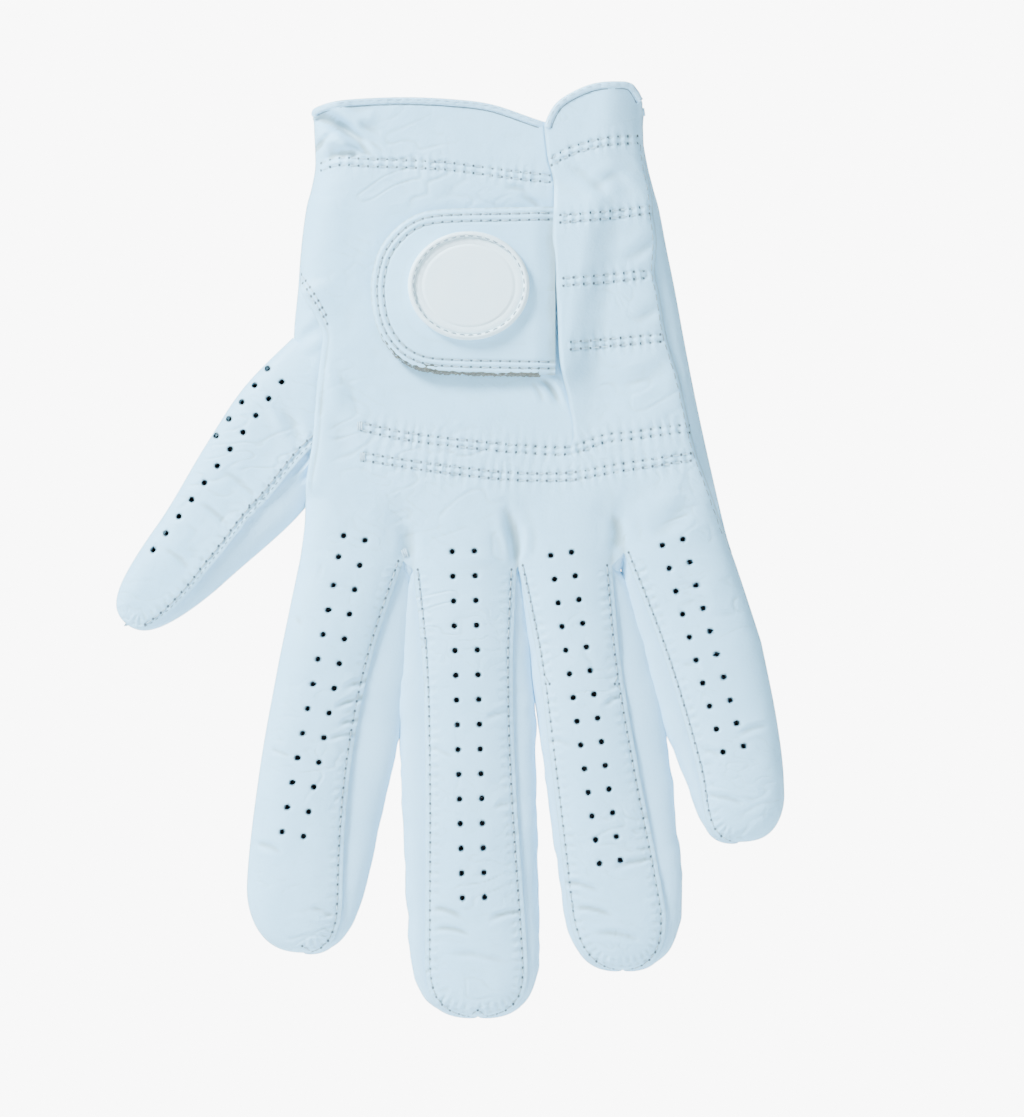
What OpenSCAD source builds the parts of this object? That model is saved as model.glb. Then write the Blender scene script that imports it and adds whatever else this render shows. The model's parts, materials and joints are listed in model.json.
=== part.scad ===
// Golf glove for the left hand, empty and held upright by its cuff.
// The back of the hand faces -Y, the palm faces +Y, the fingers point to -Z and the thumb to -X.
// Leather pieces are thin walls round a hollow, and each finger is cut where it bends.
// Outlines are given as [x, z] in mm, with the cuff edge near z = 0.

/* [Leather] */
// Thickness of one layer of leather
leather_t = 0.8; // [0.6:0.1:1.0]
// Half of the outside thickness of the empty glove
half_t = 6.5; // [6:0.5:7.5]
// Half of the outside thickness of the thumb
thumb_half_t = 5.5; // [5:0.5:5.5]

/* [Fingers] */
// Gap across the back of a finger where it bends
bend_gap = 0.5; // [0.4:0.1:0.8]
// Largest bend at the root of a finger, degrees
root_bend = 70; // [50:5:75]
// Largest bend at the middle of a finger, degrees
middle_bend = 85; // [60:5:90]
// How far the widest gusset stands out beside its seam
gusset_w = 9; // [6:0.5:9]

/* [Thumb] */
// Largest swing of the thumb towards the palm, degrees
thumb_swing = 25; // [15:5:30]
// Largest bend at the middle of the thumb, degrees
thumb_bend = 45; // [30:5:50]

/* [Perforation] */
// Diameter of an air hole
hole_d = 1.35; // [1:0.05:1.6]
// Distance between the two columns of holes on a finger
hole_columns = 5; // [4.5:0.1:5.5]

/* [Closure] */
// Height of the closure tab
tab_h = 38.4; // [34:0.2:40]
// Width of the badge on the tab
badge_w = 28.4; // [24:0.2:29]
// Height of the badge on the tab
badge_h = 25.4; // [22:0.2:26]
// Thickness of the hook patch, and of the loop patch it grips
grip_t = 1.0; // [0.8:0.1:1.2]
// Angle at which the vent flap stands off the back of the hand at rest
flap_rest = 10; // [9:0.5:12]

/* [Cuff] */
// Width of the binding that is seen along the cuff
binding_w = 1.6; // [1.2:0.1:2.4]
// Width of an elastic band
elastic_w = 5; // [4:0.5:6]
// Thickness of an elastic band
elastic_t = 0.6; // [0.4:0.1:0.7]

/* [Hidden] */
INDEX = 0;
MIDDLE = 1;
RING = 2;
LITTLE = 3;
THUMB = 4;
LEFT = -1;
RIGHT = 1;

inner_t = half_t - leather_t;
wall_w = leather_t * 1.25;
far = 300;
slit = 0.1;
thread_w = 0.5;
thread_t = 0.25;
edge_round = 1.5;
pinky_round = 2.25;
// Angle left free on the palm side when a finger, or the thumb, is fully bent.
finger_room = 1.5;
thumb_room = 2;

// Each digit as stations [x, z, half width] from its root; the last step is its rounded end.
DIGITS = [
    [[-29.5, -106, 11.5], [-35.7, -130, 10.0], [-40.4, -155, 10.0], [-42.9, -182, 10.7], [-41.5, -198, 10.7]],
    [[-3.6, -108, 12.1], [-2.9, -130, 10.6], [-2.2, -158, 10.6], [-0.9, -199, 12.0], [-0.5, -213, 12.0]],
    [[19.9, -107, 11.0], [23.3, -130, 9.7], [27, -155, 10.2], [31.8, -186, 11.4], [33.5, -202, 11.4]],
    [[45.3, -104, 11.6], [52.3, -125, 10.4], [58, -145, 9.8], [61, -160, 9.2], [60.8, -172, 9.2]],
    [[-32, -64.4, 16], [-45, -74.6, 15], [-55, -88, 13.5], [-68.5, -104.5, 9.9], [-83.5, -120.5, 8.5]]
];
// Direction across each digit, along which its width is measured.
ACROSS = [[1, 0], [1, 0], [1, 0], [1, 0], [0.74, -0.67]];
// How far the [left, right] side stands out beyond the seam, as a part of gusset_w.
SIDE_OUT = [[0.15, 0.95], [0.55, 0.38], [0.08, 0.72], [0.42, 0.15], [0.15, 0.15]];
// Stations at which each digit bends: [root, middle].
BENDS = [[0.48, 1.85], [0.45, 1.93], [0.48, 1.88], [0.55, 1.9], [0.8, 2.65]];
// Air holes of each digit: [first row, last row, number of rows].
HOLES = [
    [[-29.4, -100.6], [-43.8, -169.9], 13],
    [[-3.9, -103.7], [-1.5, -184.8], 15],
    [[19, -104.3], [30.4, -176.4], 14],
    [[45.1, -101.6], [59.3, -150], 10],
    [[-48.2, -62.4], [-75, -99.5], 10]
];

// Outline of the hand, from the cuff down.
LEFT_EDGE = [[-37.8, -1], [-37.3, -11], [-39.4, -24], [-41.2, -40], [-42.2, -52]];
THUMB_EDGE = [[-36.7, -53.2], [-38.4, -67.4], [-39.2, -77.7], [-40.3, -87]];
// Where the palm panel's edge steps in, clear of the thumb when it swings.
PALM_STEP = [-40.3, -53.2];
LOWER_LEFT = [[-39.4, -91], [-40, -98], [-41, -106]];
PINKY_SEAM = [[38.1, 0], [39.3, -12], [40.6, -28], [42.1, -44], [46.6, -64], [51.6, -84], [56.9, -104]];
// Lower edge of the hand across the fingers, dipping into each finger between the forks.
ROOT_LINE = [
    [54, -108.5], [36.5, -108.5], [32.3, -105.5], [29, -110], [11, -110], [8.7, -107.5],
    [6.5, -110], [-13.5, -110], [-16.8, -107], [-20, -109.5], [-39.5, -109.5]
];
CUFF_MAIN = [[-38.5, -0.4], [-31.5, 1.9], [-19, 2.5], [-7.3, 2.1], [3, 0.8], [14.8, -3.1]];
CUFF_FLAP = [[15.2, -3], [17.8, 1.1], [21.4, 3.6], [26.3, 5.6], [31.3, 6.2], [36, 5.8]];
CUFF_PINKY = [[37, 5.6], [38.1, 0]];
CUFF_PALM = [[-38, 0.2], [-20, -1.8], [0, -2.6], [20, -2], [37.4, -0.4]];
VENT_EDGE = [[15, -4.3], [17.2, -20], [17.2, -31], [18.2, -49], [19, -62.5], [21.5, -72.6], [22.3, -80]];
// The flap folds about the line between these two points.
FOLD_FOOT = [22.8, -81];
FOLD_HEAD = [36.8, 6.5];
UNDERLAP_TOP_X = 24;

// Double stitch rows, as the upper thread of each pair.
CUFF_ROW = [[-37, -12.6], [-26, -12], [-10.2, -12.6], [7, -14.7], [16.3, -15.7]];
FLAP_ROWS = [
    [[17.2, -11.4], [20.9, -9.5], [25.1, -8.1], [32.5, -6.8]],
    [[18.8, -25.3], [30.4, -24.2]],
    [[19.5, -40], [28, -39.2]],
    [[21, -54.9], [25.6, -54.6]]
];
KNUCKLE_ROWS = [
    [[-27.8, -73.6], [-10.7, -76.9], [9, -78.9], [20, -79.3]],
    [[-27.2, -80.8], [-8.7, -83.6], [7, -85.3], [28.2, -84.1], [49.3, -80.8]]
];
row_pair = 1.7;
KNUCKLE_BANDS = [
    [[-28, -74.5], [-10, -77.8], [9, -79.8], [24, -84.4]],
    [[-27.5, -83.6], [-8.7, -86.4], [10, -90.5], [28, -90.8], [49, -85]]
];

// Closure tab: its fold line, its straight part and the ellipse of its free end.
tab_fold_x = 14.5;
tab_mid_z = -43;
tab_end_x = -9;
tab_end_r = 16.5;
tab_t = 1.2;
badge_x = -2.6;
badge_z = -41.8;
badge_rim_w = 1.5;
badge_rim_t = 2;
badge_disc_t = 1.1;
stitch_in = 1.5;
loop_y = -half_t;
hook_y = loop_y - grip_t - slit;
tab_y = hook_y - grip_t;
tab_front_y = tab_y - tab_t;
flap_stand = 0.9;
flap_inner_y = -half_t - flap_stand;
thumb_y = half_t - thumb_half_t;

// Which node to build

// ---- Colours ----
leather_colour = [0.83, 0.88, 0.93];
shade_colour = [0.78, 0.84, 0.90];
felt_colour = [0.30, 0.33, 0.31];
elastic_colour = [0.90, 0.90, 0.88];
thread_colour = [0.75, 0.82, 0.88];
badge_colour = [0.87, 0.92, 0.98];

// ---- Curves ----
function reversed(list) = [for (i = [len(list) - 1:-1:0]) list[i]];

// A point on the smooth curve through p, with u counted in stations.
function along(p, u) =
    let (
        last = len(p) - 1,
        k = min(floor(u), last - 1),
        t = u - k,
        a = p[max(k - 1, 0)],
        b = p[k],
        c = p[k + 1],
        d = p[min(k + 2, last)]
    )
    0.5 * (2 * b + (c - a) * t + (2 * a - 5 * b + 4 * c - d) * t * t + (3 * (b - c) + d - a) * t * t * t);

function curve(p, steps = 3) =
    [for (i = [0:(len(p) - 1) * steps]) along(p, i / steps)];

function ellipse(cx, cz, rx, rz, from = 0, to = 345, step = 15) =
    [for (a = [from:step:to]) [cx + rx * cos(a), cz + rz * sin(a)]];

// The unit normal to the left of a path at point i.
function path_normal(path, i) =
    let (
        a = path[max(i - 1, 0)],
        b = path[min(i + 1, len(path) - 1)],
        d = (b - a) / norm(b - a)
    )
    [-d.y, d.x];

function band_outline(path, w) = concat(
    [for (i = [0:len(path) - 1]) path[i] + path_normal(path, i) * w / 2],
    [for (i = [len(path) - 1:-1:0]) path[i] - path_normal(path, i) * w / 2]
);

function lowered(path, dz) = [for (p = path) [p.x, p.y - dz]];

// ---- Digits ----
function straight_end(f) = len(DIGITS[f]) - 2;

// [station, part of the full width] at each sample, closer together round the end.
function samples(f) = concat(
    [for (i = [0:straight_end(f) * 4 - 1]) [i / 4, 1]],
    [for (a = [0:22:88]) [straight_end(f) + sin(a), cos(a)]]
);

function spine(f, u) = let (p = along(DIGITS[f], u)) [p.x, p.y];

function spine_direction(f, u) = let (d = spine(f, u + 0.05) - spine(f, u - 0.05)) d / norm(d);

// The seam along one side of a digit, from its root to its end.
function seam(f, side) = [
    for (s = samples(f))
        let (p = along(DIGITS[f], s[0]))
        [p.x, p.y] + ACROSS[f] * side * p.z * s[1]
];

// How far that side stands out beyond the seam at each sample.
function side_out(f, side) =
    let (
        share = SIDE_OUT[f][side < 0 ? 0 : 1],
        length = straight_end(f) + 1,
        least = share < 0.2 ? edge_round / 2 : 0
    )
    [for (s = samples(f)) gusset_w * share * sin(180 * pow(min(s[0] / length, 1), 0.85)) + least];

function digit_outline(f) = concat(seam(f, LEFT), reversed(seam(f, RIGHT)));

function digit_y(f) = f == THUMB ? thumb_y : 0;

function digit_half_t(f) = f == THUMB ? thumb_half_t : half_t;

// ---- Building blocks ----
// A flat piece between y and y + t, from an outline in x and z.
module sheet(y, t) {
    translate([0, y + t, 0])
        rotate([90, 0, 0])
            linear_extrude(t)
                children();
}

// A wall of leather along a seam, bowed outwards between its back edge and its palm edge.
// tuck says which of those two edges [back, palm] runs on into a sheet of the same piece.
module side_wall(path, out, side, half, mid_y, tuck = [0, 0]) {
    depth = half - leather_t;
    tuck_depth = leather_t / 2;
    tuck_in = 0.2;
    n = len(path);
    function ring(i) =
        let (
            a = path[i],
            o = path_normal(path, i) * side,
            back = a - o * tuck_in * tuck[0],
            bow = a + o * out[i],
            palm = a - o * tuck_in * tuck[1],
            back_y = mid_y - depth - tuck_depth * tuck[0],
            palm_y = mid_y + depth + tuck_depth * tuck[1]
        )
        [
            [back.x, back_y, back.y],
            [bow.x, mid_y, bow.y],
            [palm.x, palm_y, palm.y],
            [palm.x - o.x * wall_w, palm_y, palm.y - o.y * wall_w],
            [bow.x - o.x * wall_w, mid_y, bow.y - o.y * wall_w],
            [back.x - o.x * wall_w, back_y, back.y - o.y * wall_w]
        ];
    function facing(tri) = side > 0 ? tri : reversed(tri);
    points = [for (i = [0:n - 1]) each ring(i)];
    sides = [
        for (i = [0:n - 2], k = [0:5])
            let (
                a = i * 6 + k,
                b = i * 6 + (k + 1) % 6
            )
            each [facing([a, b, b + 6]), facing([a, b + 6, a + 6])]
    ];
    first = [[0, 5, 1], [5, 4, 1], [4, 3, 2], [4, 2, 1]];
    caps = [for (c = first) each [facing(c), facing(reversed([for (v = c) v + (n - 1) * 6]))]];
    polyhedron(points, concat(sides, caps), convexity = 6);
}

module digit_side(f, side, tuck = [0, 0])
    side_wall(seam(f, side), side_out(f, side), side, digit_half_t(f), digit_y(f), tuck);

// A space on one side of a bend: way 1 is towards the tip, way -1 towards the cuff.
// It leans back on the palm side by the angle given, so that the bend can close.
module past_bend(at, direction, way, angle, mid_y) {
    back = -half_t * 4;
    front = half_t * 4;
    lean = (front - mid_y) * tan(angle);
    translate([at.x, 0, at.y])
        rotate([0, atan2(-direction.y, direction.x), 0])
            linear_extrude(far, center = true)
                polygon([
                    [way * bend_gap / 2, back],
                    [way * bend_gap / 2, mid_y],
                    [way * (bend_gap / 2 + lean), front],
                    [way * far, front],
                    [way * far, back]
                ]);
}

// Direction in which each digit leaves its root bend.
function root_direction(f) = f == THUMB ? [-0.995, 0.1] : [0, -1];

function root_angle(f) = f == THUMB ? thumb_swing + thumb_room : root_bend / 2 + finger_room;

function middle_angle(f) = (f == THUMB ? thumb_bend : middle_bend) / 2 + finger_room;

module past_root(f, way)
    past_bend(spine(f, BENDS[f][0]), root_direction(f), way, root_angle(f), digit_y(f));

module past_middle(f, way)
    past_bend(spine(f, BENDS[f][1]), spine_direction(f, BENDS[f][1]), way, middle_angle(f), digit_y(f));

// The wedge of palm leather that folds in when a bend closes.
module fold_wedge(at, direction, angle, mid_y) {
    top = half_t * 3;
    clear = bend_gap;
    blunt = 1;
    low = mid_y + clear / tan(angle) + blunt;
    translate([at.x, 0, at.y])
        rotate([0, atan2(-direction.y, direction.x), 0])
            linear_extrude(far, center = true)
                polygon([
                    [0, low],
                    [(top - mid_y) * tan(angle) - clear, top],
                    [clear - (top - mid_y) * tan(angle), top]
                ]);
}

module air_holes()
    for (f = [0:len(HOLES) - 1]) {
        rows = HOLES[f][2];
        step = (HOLES[f][1] - HOLES[f][0]) / (rows - 1);
        tangent = step / norm(step);
        for (i = [0:rows - 1], side = [-0.5, 0.5])
            if (f != THUMB || side > 0)
                translate(HOLES[f][0] + step * i + [-tangent.y, tangent.x] * side * hole_columns)
                    circle(d = hole_d, $fn = 8);
    }

module digit_back(f)
    sheet(digit_y(f) - digit_half_t(f), leather_t)
        difference() {
            polygon(digit_outline(f));
            air_holes();
        }

module digit_palm(f)
    sheet(digit_y(f) + digit_half_t(f) - leather_t, leather_t)
        polygon(digit_outline(f));

module root_part(f)
    intersection() {
        union() children();
        past_root(f, 1);
        past_middle(f, -1);
    }

module tip_part(f)
    intersection() {
        union() children();
        past_middle(f, 1);
    }

// Palm leather that carries on round the outer side of the digit.
module wrapped_palm(f, side) {
    digit_palm(f);
    digit_side(f, side, [0, 1]);
}

module both_sides(f, tuck = [0, 0]) {
    digit_side(f, LEFT, tuck);
    digit_side(f, RIGHT, tuck);
}

module middle_fold_of(f)
    intersection() {
        union() {
            digit_palm(f);
            both_sides(f, [0, 1]);
        }
        fold_wedge(spine(f, BENDS[f][1]), spine_direction(f, BENDS[f][1]), middle_angle(f), digit_y(f));
    }

// ---- Hand ----
module hand_outline()
    polygon(concat(
        curve(CUFF_MAIN),
        curve(CUFF_FLAP),
        CUFF_PINKY,
        curve(PINKY_SEAM),
        ROOT_LINE,
        reversed(curve(LOWER_LEFT)),
        reversed(curve(THUMB_EDGE)),
        reversed(curve(LEFT_EDGE))
    ));

// The opening in the back under the flap, run on past the cuff.
module vent_slit() {
    past_cuff = 10;
    polygon([
        FOLD_FOOT,
        FOLD_HEAD + [0, past_cuff],
        [UNDERLAP_TOP_X, FOLD_HEAD.y + past_cuff],
        [UNDERLAP_TOP_X, 0]
    ]);
}

// The part of each finger's outline that belongs to the hand, down to its root bend.
module finger_stubs(set_back)
    for (f = [INDEX:LITTLE])
        intersection() {
            polygon(digit_outline(f));
            translate([-far / 2, spine(f, BENDS[f][0]).y + bend_gap / 2 + set_back])
                square(far);
        }

module back_panel()
    color(leather_colour)
        sheet(-half_t, leather_t)
            difference() {
                union() {
                    hand_outline();
                    finger_stubs(0);
                }
                vent_slit();
                air_holes();
            }

module palm_panel()
    color(leather_colour)
        sheet(half_t - leather_t, leather_t) {
            polygon(concat(
                curve(CUFF_PALM),
                curve(PINKY_SEAM),
                ROOT_LINE,
                reversed(curve(LOWER_LEFT)),
                [PALM_STEP],
                reversed(curve(LEFT_EDGE))
            ));
            finger_stubs(half_t * tan(root_angle(INDEX)));
        }

module edge_wall(path, out, side)
    side_wall(path, [for (p = path) out], side, half_t, 0);

// The part of a side edge that starts below the cuff's binding.
function below_binding(edge) = [for (p = curve(edge)) if (p.y < -2 * binding_w) p];

module index_side()
    color(leather_colour) {
        edge_wall(below_binding(LEFT_EDGE), edge_round, LEFT);
        intersection() {
            edge_wall(concat(curve(LOWER_LEFT), [for (i = [1:3]) seam(INDEX, LEFT)[i]]), edge_round, LEFT);
            past_root(INDEX, -1);
        }
    }

module pinky_side()
    color(shade_colour)
        intersection() {
            edge_wall(
                concat(below_binding(PINKY_SEAM), [for (i = [1:3]) seam(LITTLE, RIGHT)[i]]),
                pinky_round,
                RIGHT
            );
            past_root(LITTLE, -1);
        }

// A strip folded over an edge, with a slot that the edge sits in.
module binding(edge, y) {
    fold_t = 0.5;
    sheet_gap = 0.05;
    slot_depth = 20;
    difference() {
        sheet(y - fold_t, leather_t + 2 * fold_t)
            polygon(concat(lowered(edge, -fold_t), reversed(lowered(edge, binding_w))));
        sheet(y - sheet_gap, leather_t + 2 * sheet_gap)
            polygon(concat(lowered(edge, -sheet_gap), reversed(lowered(edge, slot_depth))));
    }
}

module cuff_binding_back()
    color(shade_colour)
        binding(curve(CUFF_MAIN), -half_t);

module cuff_binding_palm()
    color(shade_colour)
        binding(curve(CUFF_PALM), half_t - leather_t);

module elastic_band(path, y)
    sheet(y, elastic_t)
        polygon(band_outline(path, elastic_w));

module wrist_elastic()
    color(elastic_colour)
        elastic_band(curve([for (p = CUFF_ROW) [max(p.x, -35), p.y - 1]]), slit - inner_t);

module knuckle_elastics()
    color(elastic_colour)
        for (band = KNUCKLE_BANDS)
            elastic_band(curve(band), slit - inner_t);

module loop_patch()
    color(felt_colour)
        sheet(loop_y - grip_t, grip_t)
            polygon(ellipse(tab_end_x + 2.5, tab_mid_z - 1, tab_end_r - 1, tab_h / 2));

// Two fourchette legs that meet in the fork between two fingers.
module crotch(f) {
    bead_r = 1.3;
    fork = (seam(f, RIGHT)[0] + seam(f + 1, LEFT)[0]) / 2;
    intersection() {
        digit_side(f, RIGHT);
        past_root(f, -1);
    }
    intersection() {
        digit_side(f + 1, LEFT);
        past_root(f + 1, -1);
    }
    sheet(-inner_t, 2 * inner_t)
        translate(fork)
            rotate(22.5)
                circle(r = bead_r, $fn = 8);
}

module index_middle_crotch() color(shade_colour) crotch(INDEX);
module middle_ring_crotch() color(shade_colour) crotch(MIDDLE);
module ring_little_crotch() color(shade_colour) crotch(RING);

// Gusset between the palm and the lower side of the thumb.
module thumb_quirk()
    color(shade_colour)
        sheet(half_t - leather_t, leather_t)
            polygon([[-42.8, -57], [-44, -64], [-45.6, -84], [-43, -93], [-40.2, -91], [-41.2, -75]]);

module finger_root_folds()
    color(leather_colour)
        for (f = [INDEX:LITTLE])
            intersection() {
                union() {
                    digit_palm(f);
                    both_sides(f, [0, 1]);
                }
                fold_wedge(spine(f, BENDS[f][0]), root_direction(f), root_angle(f), 0);
            }

module thread_pair(row, y)
    for (drop = [0, row_pair])
        sheet(y - thread_t, thread_t)
            polygon(band_outline(lowered(curve(row), drop), thread_w));

module hand_stitching()
    color(thread_colour) {
        thread_pair([for (p = CUFF_ROW) if (p.x < 10) p], -half_t);
        for (row = KNUCKLE_ROWS)
            thread_pair(row, -half_t);
    }

// ---- Vent flap ----
// Turns its children about the flap's fold line.
module about_fold(angle) {
    run = FOLD_HEAD - FOLD_FOOT;
    lean = atan2(run.x, run.y);
    translate([FOLD_FOOT.x, flap_inner_y, FOLD_FOOT.y])
        rotate([0, lean, 0])
            rotate([0, 0, angle])
                rotate([0, -lean, 0])
                    translate([-FOLD_FOOT.x, -flap_inner_y, -FOLD_FOOT.y])
                        children();
}

// The side of the fold line on which the flap lies.
module flap_side() {
    margin = [60, 20];
    past_head = (FOLD_HEAD - FOLD_FOOT) * 0.1;
    polygon([
        FOLD_FOOT - [bend_gap, 0],
        FOLD_HEAD - [bend_gap, 0] + past_head,
        FOLD_HEAD + [-margin.x, margin.y],
        FOLD_FOOT - margin
    ]);
}

module flap_outline()
    intersection() {
        polygon(concat(curve(VENT_EDGE), [FOLD_FOOT], [FOLD_HEAD], reversed(curve(CUFF_FLAP))));
        flap_side();
    }

module vent_flap()
    color(leather_colour)
        about_fold(flap_rest)
            sheet(flap_inner_y - leather_t, leather_t)
                flap_outline();

module flap_binding()
    color(shade_colour)
        about_fold(flap_rest)
            intersection() {
                binding(curve(CUFF_FLAP), flap_inner_y - leather_t);
                sheet(-half_t * 3, half_t * 3)
                    flap_side();
            }

module flap_elastics()
    color(elastic_colour)
        about_fold(flap_rest)
            for (i = [0, 1])
                elastic_band(curve(lowered(FLAP_ROWS[i], 1)), flap_inner_y + slit);

module flap_stitching()
    color(thread_colour)
        about_fold(flap_rest)
            for (row = FLAP_ROWS)
                thread_pair(row, flap_inner_y - leather_t);

// The tab's own leather, running back from its fold line to where it is sewn beside the flap.
module tab_root() {
    sewn_x = [18, 19.5];
    sewn_y = -half_t - 0.2;
    front_y = -half_t - 0.7;
    color(leather_colour)
        translate([0, 0, tab_mid_z - tab_h / 2])
            linear_extrude(tab_h)
                polygon([
                    [tab_fold_x + bend_gap, tab_front_y],
                    [tab_fold_x + bend_gap, tab_y],
                    [sewn_x[0], sewn_y],
                    [sewn_x[1], sewn_y],
                    [sewn_x[1], front_y]
                ]);
}

// ---- Closure tab ----
function tab_outline(inset) = concat(
    [[tab_fold_x, tab_mid_z + tab_h / 2 - inset]],
    ellipse(tab_end_x, tab_mid_z, tab_end_r - inset, tab_h / 2 - inset, 90, 270, 12),
    [[tab_fold_x, tab_mid_z - tab_h / 2 + inset]]
);

module tab_leather()
    color(leather_colour)
        sheet(tab_front_y, tab_t)
            polygon(tab_outline(0));

module tab_stitching()
    color(thread_colour)
        for (inset = [stitch_in, stitch_in + row_pair])
            sheet(tab_front_y - thread_t, thread_t)
                polygon(band_outline(tab_outline(inset), thread_w));

module hook_patch()
    color(felt_colour)
        sheet(hook_y - grip_t, grip_t)
            polygon(ellipse(tab_end_x + 2, tab_mid_z, tab_end_r - 3, tab_h / 2 - 2));

module badge_outline(inset)
    polygon(ellipse(badge_x, badge_z, badge_w / 2 - inset, badge_h / 2 - inset));

module badge_rim()
    color(leather_colour)
        sheet(tab_front_y - thread_t - badge_rim_t, badge_rim_t)
            difference() {
                badge_outline(0);
                badge_outline(badge_rim_w);
            }

module badge_disc()
    color(badge_colour)
        sheet(tab_front_y - badge_disc_t, badge_disc_t)
            badge_outline(badge_rim_w + slit);

// ---- Index finger ----
module index_root_back() color(leather_colour) root_part(INDEX) digit_back(INDEX);
module index_root_palm() color(leather_colour) root_part(INDEX) wrapped_palm(INDEX, LEFT);
module index_root_fourchette() color(shade_colour) root_part(INDEX) digit_side(INDEX, RIGHT);
module index_fold() color(leather_colour) middle_fold_of(INDEX);
module index_tip_back() color(leather_colour) tip_part(INDEX) digit_back(INDEX);
module index_tip_palm() color(leather_colour) tip_part(INDEX) wrapped_palm(INDEX, LEFT);
module index_tip_fourchette() color(shade_colour) tip_part(INDEX) digit_side(INDEX, RIGHT);

// ---- Middle finger ----
module middle_root_back() color(leather_colour) root_part(MIDDLE) digit_back(MIDDLE);
module middle_root_palm() color(leather_colour) root_part(MIDDLE) digit_palm(MIDDLE);
module middle_root_fourchettes() color(shade_colour) root_part(MIDDLE) both_sides(MIDDLE);
module middle_fold() color(leather_colour) middle_fold_of(MIDDLE);
module middle_tip_back() color(leather_colour) tip_part(MIDDLE) digit_back(MIDDLE);
module middle_tip_palm() color(leather_colour) tip_part(MIDDLE) digit_palm(MIDDLE);
module middle_tip_fourchettes() color(shade_colour) tip_part(MIDDLE) both_sides(MIDDLE);

// ---- Ring finger ----
module ring_root_back() color(leather_colour) root_part(RING) digit_back(RING);
module ring_root_palm() color(leather_colour) root_part(RING) digit_palm(RING);
module ring_root_fourchettes() color(shade_colour) root_part(RING) both_sides(RING);
module ring_fold() color(leather_colour) middle_fold_of(RING);
module ring_tip_back() color(leather_colour) tip_part(RING) digit_back(RING);
module ring_tip_palm() color(leather_colour) tip_part(RING) digit_palm(RING);
module ring_tip_fourchettes() color(shade_colour) tip_part(RING) both_sides(RING);

// ---- Little finger ----
module little_root_back() color(leather_colour) root_part(LITTLE) digit_back(LITTLE);
module little_root_palm() color(leather_colour) root_part(LITTLE) wrapped_palm(LITTLE, RIGHT);
module little_root_fourchette() color(shade_colour) root_part(LITTLE) digit_side(LITTLE, LEFT);
module little_fold() color(leather_colour) middle_fold_of(LITTLE);
module little_tip_back() color(leather_colour) tip_part(LITTLE) digit_back(LITTLE);
module little_tip_palm() color(leather_colour) tip_part(LITTLE) wrapped_palm(LITTLE, RIGHT);
module little_tip_fourchette() color(shade_colour) tip_part(LITTLE) digit_side(LITTLE, LEFT);

// ---- Thumb ----
module thumb_back_leather() {
    digit_back(THUMB);
    digit_side(THUMB, LEFT, [1, 0]);
}

module thumb_root_back() color(leather_colour) root_part(THUMB) thumb_back_leather();
module thumb_root_palm() color(leather_colour) root_part(THUMB) wrapped_palm(THUMB, RIGHT);
module thumb_fold() color(leather_colour) middle_fold_of(THUMB);
module thumb_tip_back() color(leather_colour) tip_part(THUMB) thumb_back_leather();
module thumb_tip_palm() color(leather_colour) tip_part(THUMB) wrapped_palm(THUMB, RIGHT);

back_panel();
palm_panel();
index_side();
pinky_side();
cuff_binding_back();
cuff_binding_palm();
wrist_elastic();
knuckle_elastics();
loop_patch();
index_middle_crotch();
middle_ring_crotch();
ring_little_crotch();
thumb_quirk();
finger_root_folds();
hand_stitching();
vent_flap();
flap_binding();
flap_elastics();
flap_stitching();
tab_root();
tab_leather();
tab_stitching();
hook_patch();
badge_rim();
badge_disc();
index_root_back();
index_root_palm();
index_root_fourchette();
index_fold();
index_tip_back();
index_tip_palm();
index_tip_fourchette();
middle_root_back();
middle_root_palm();
middle_root_fourchettes();
middle_fold();
middle_tip_back();
middle_tip_palm();
middle_tip_fourchettes();
ring_root_back();
ring_root_palm();
ring_root_fourchettes();
ring_fold();
ring_tip_back();
ring_tip_palm();
ring_tip_fourchettes();
little_root_back();
little_root_palm();
little_root_fourchette();
little_fold();
little_tip_back();
little_tip_palm();
little_tip_fourchette();
thumb_root_back();
thumb_root_palm();
thumb_fold();
thumb_tip_back();
thumb_tip_palm();
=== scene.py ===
import json
import math

import bpy
import numpy as np
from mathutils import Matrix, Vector
from mathutils.bvhtree import BVHTree

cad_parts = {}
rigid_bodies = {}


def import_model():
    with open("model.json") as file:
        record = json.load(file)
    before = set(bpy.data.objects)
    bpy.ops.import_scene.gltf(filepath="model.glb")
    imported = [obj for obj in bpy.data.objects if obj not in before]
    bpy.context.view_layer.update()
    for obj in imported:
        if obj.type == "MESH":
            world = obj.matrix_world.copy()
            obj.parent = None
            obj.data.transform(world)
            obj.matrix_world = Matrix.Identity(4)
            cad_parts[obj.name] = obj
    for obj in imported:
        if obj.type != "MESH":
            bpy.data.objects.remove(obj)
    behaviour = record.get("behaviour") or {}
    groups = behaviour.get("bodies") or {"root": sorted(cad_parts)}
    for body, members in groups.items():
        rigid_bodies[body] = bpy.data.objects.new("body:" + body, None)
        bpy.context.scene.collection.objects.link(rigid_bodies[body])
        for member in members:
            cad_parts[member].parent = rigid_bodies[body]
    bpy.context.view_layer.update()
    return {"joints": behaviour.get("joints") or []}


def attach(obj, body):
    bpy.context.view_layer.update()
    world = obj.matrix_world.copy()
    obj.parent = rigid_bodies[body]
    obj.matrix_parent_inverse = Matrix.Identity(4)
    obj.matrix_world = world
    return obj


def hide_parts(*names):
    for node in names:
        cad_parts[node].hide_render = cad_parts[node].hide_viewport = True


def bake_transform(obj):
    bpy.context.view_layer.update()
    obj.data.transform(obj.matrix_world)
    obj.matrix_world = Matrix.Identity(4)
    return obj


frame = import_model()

# Lengths below are in mm, in the frame of the CAD model, and MM turns them into metres.
MM = 0.001
LEFT = -1
RIGHT = 1
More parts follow.
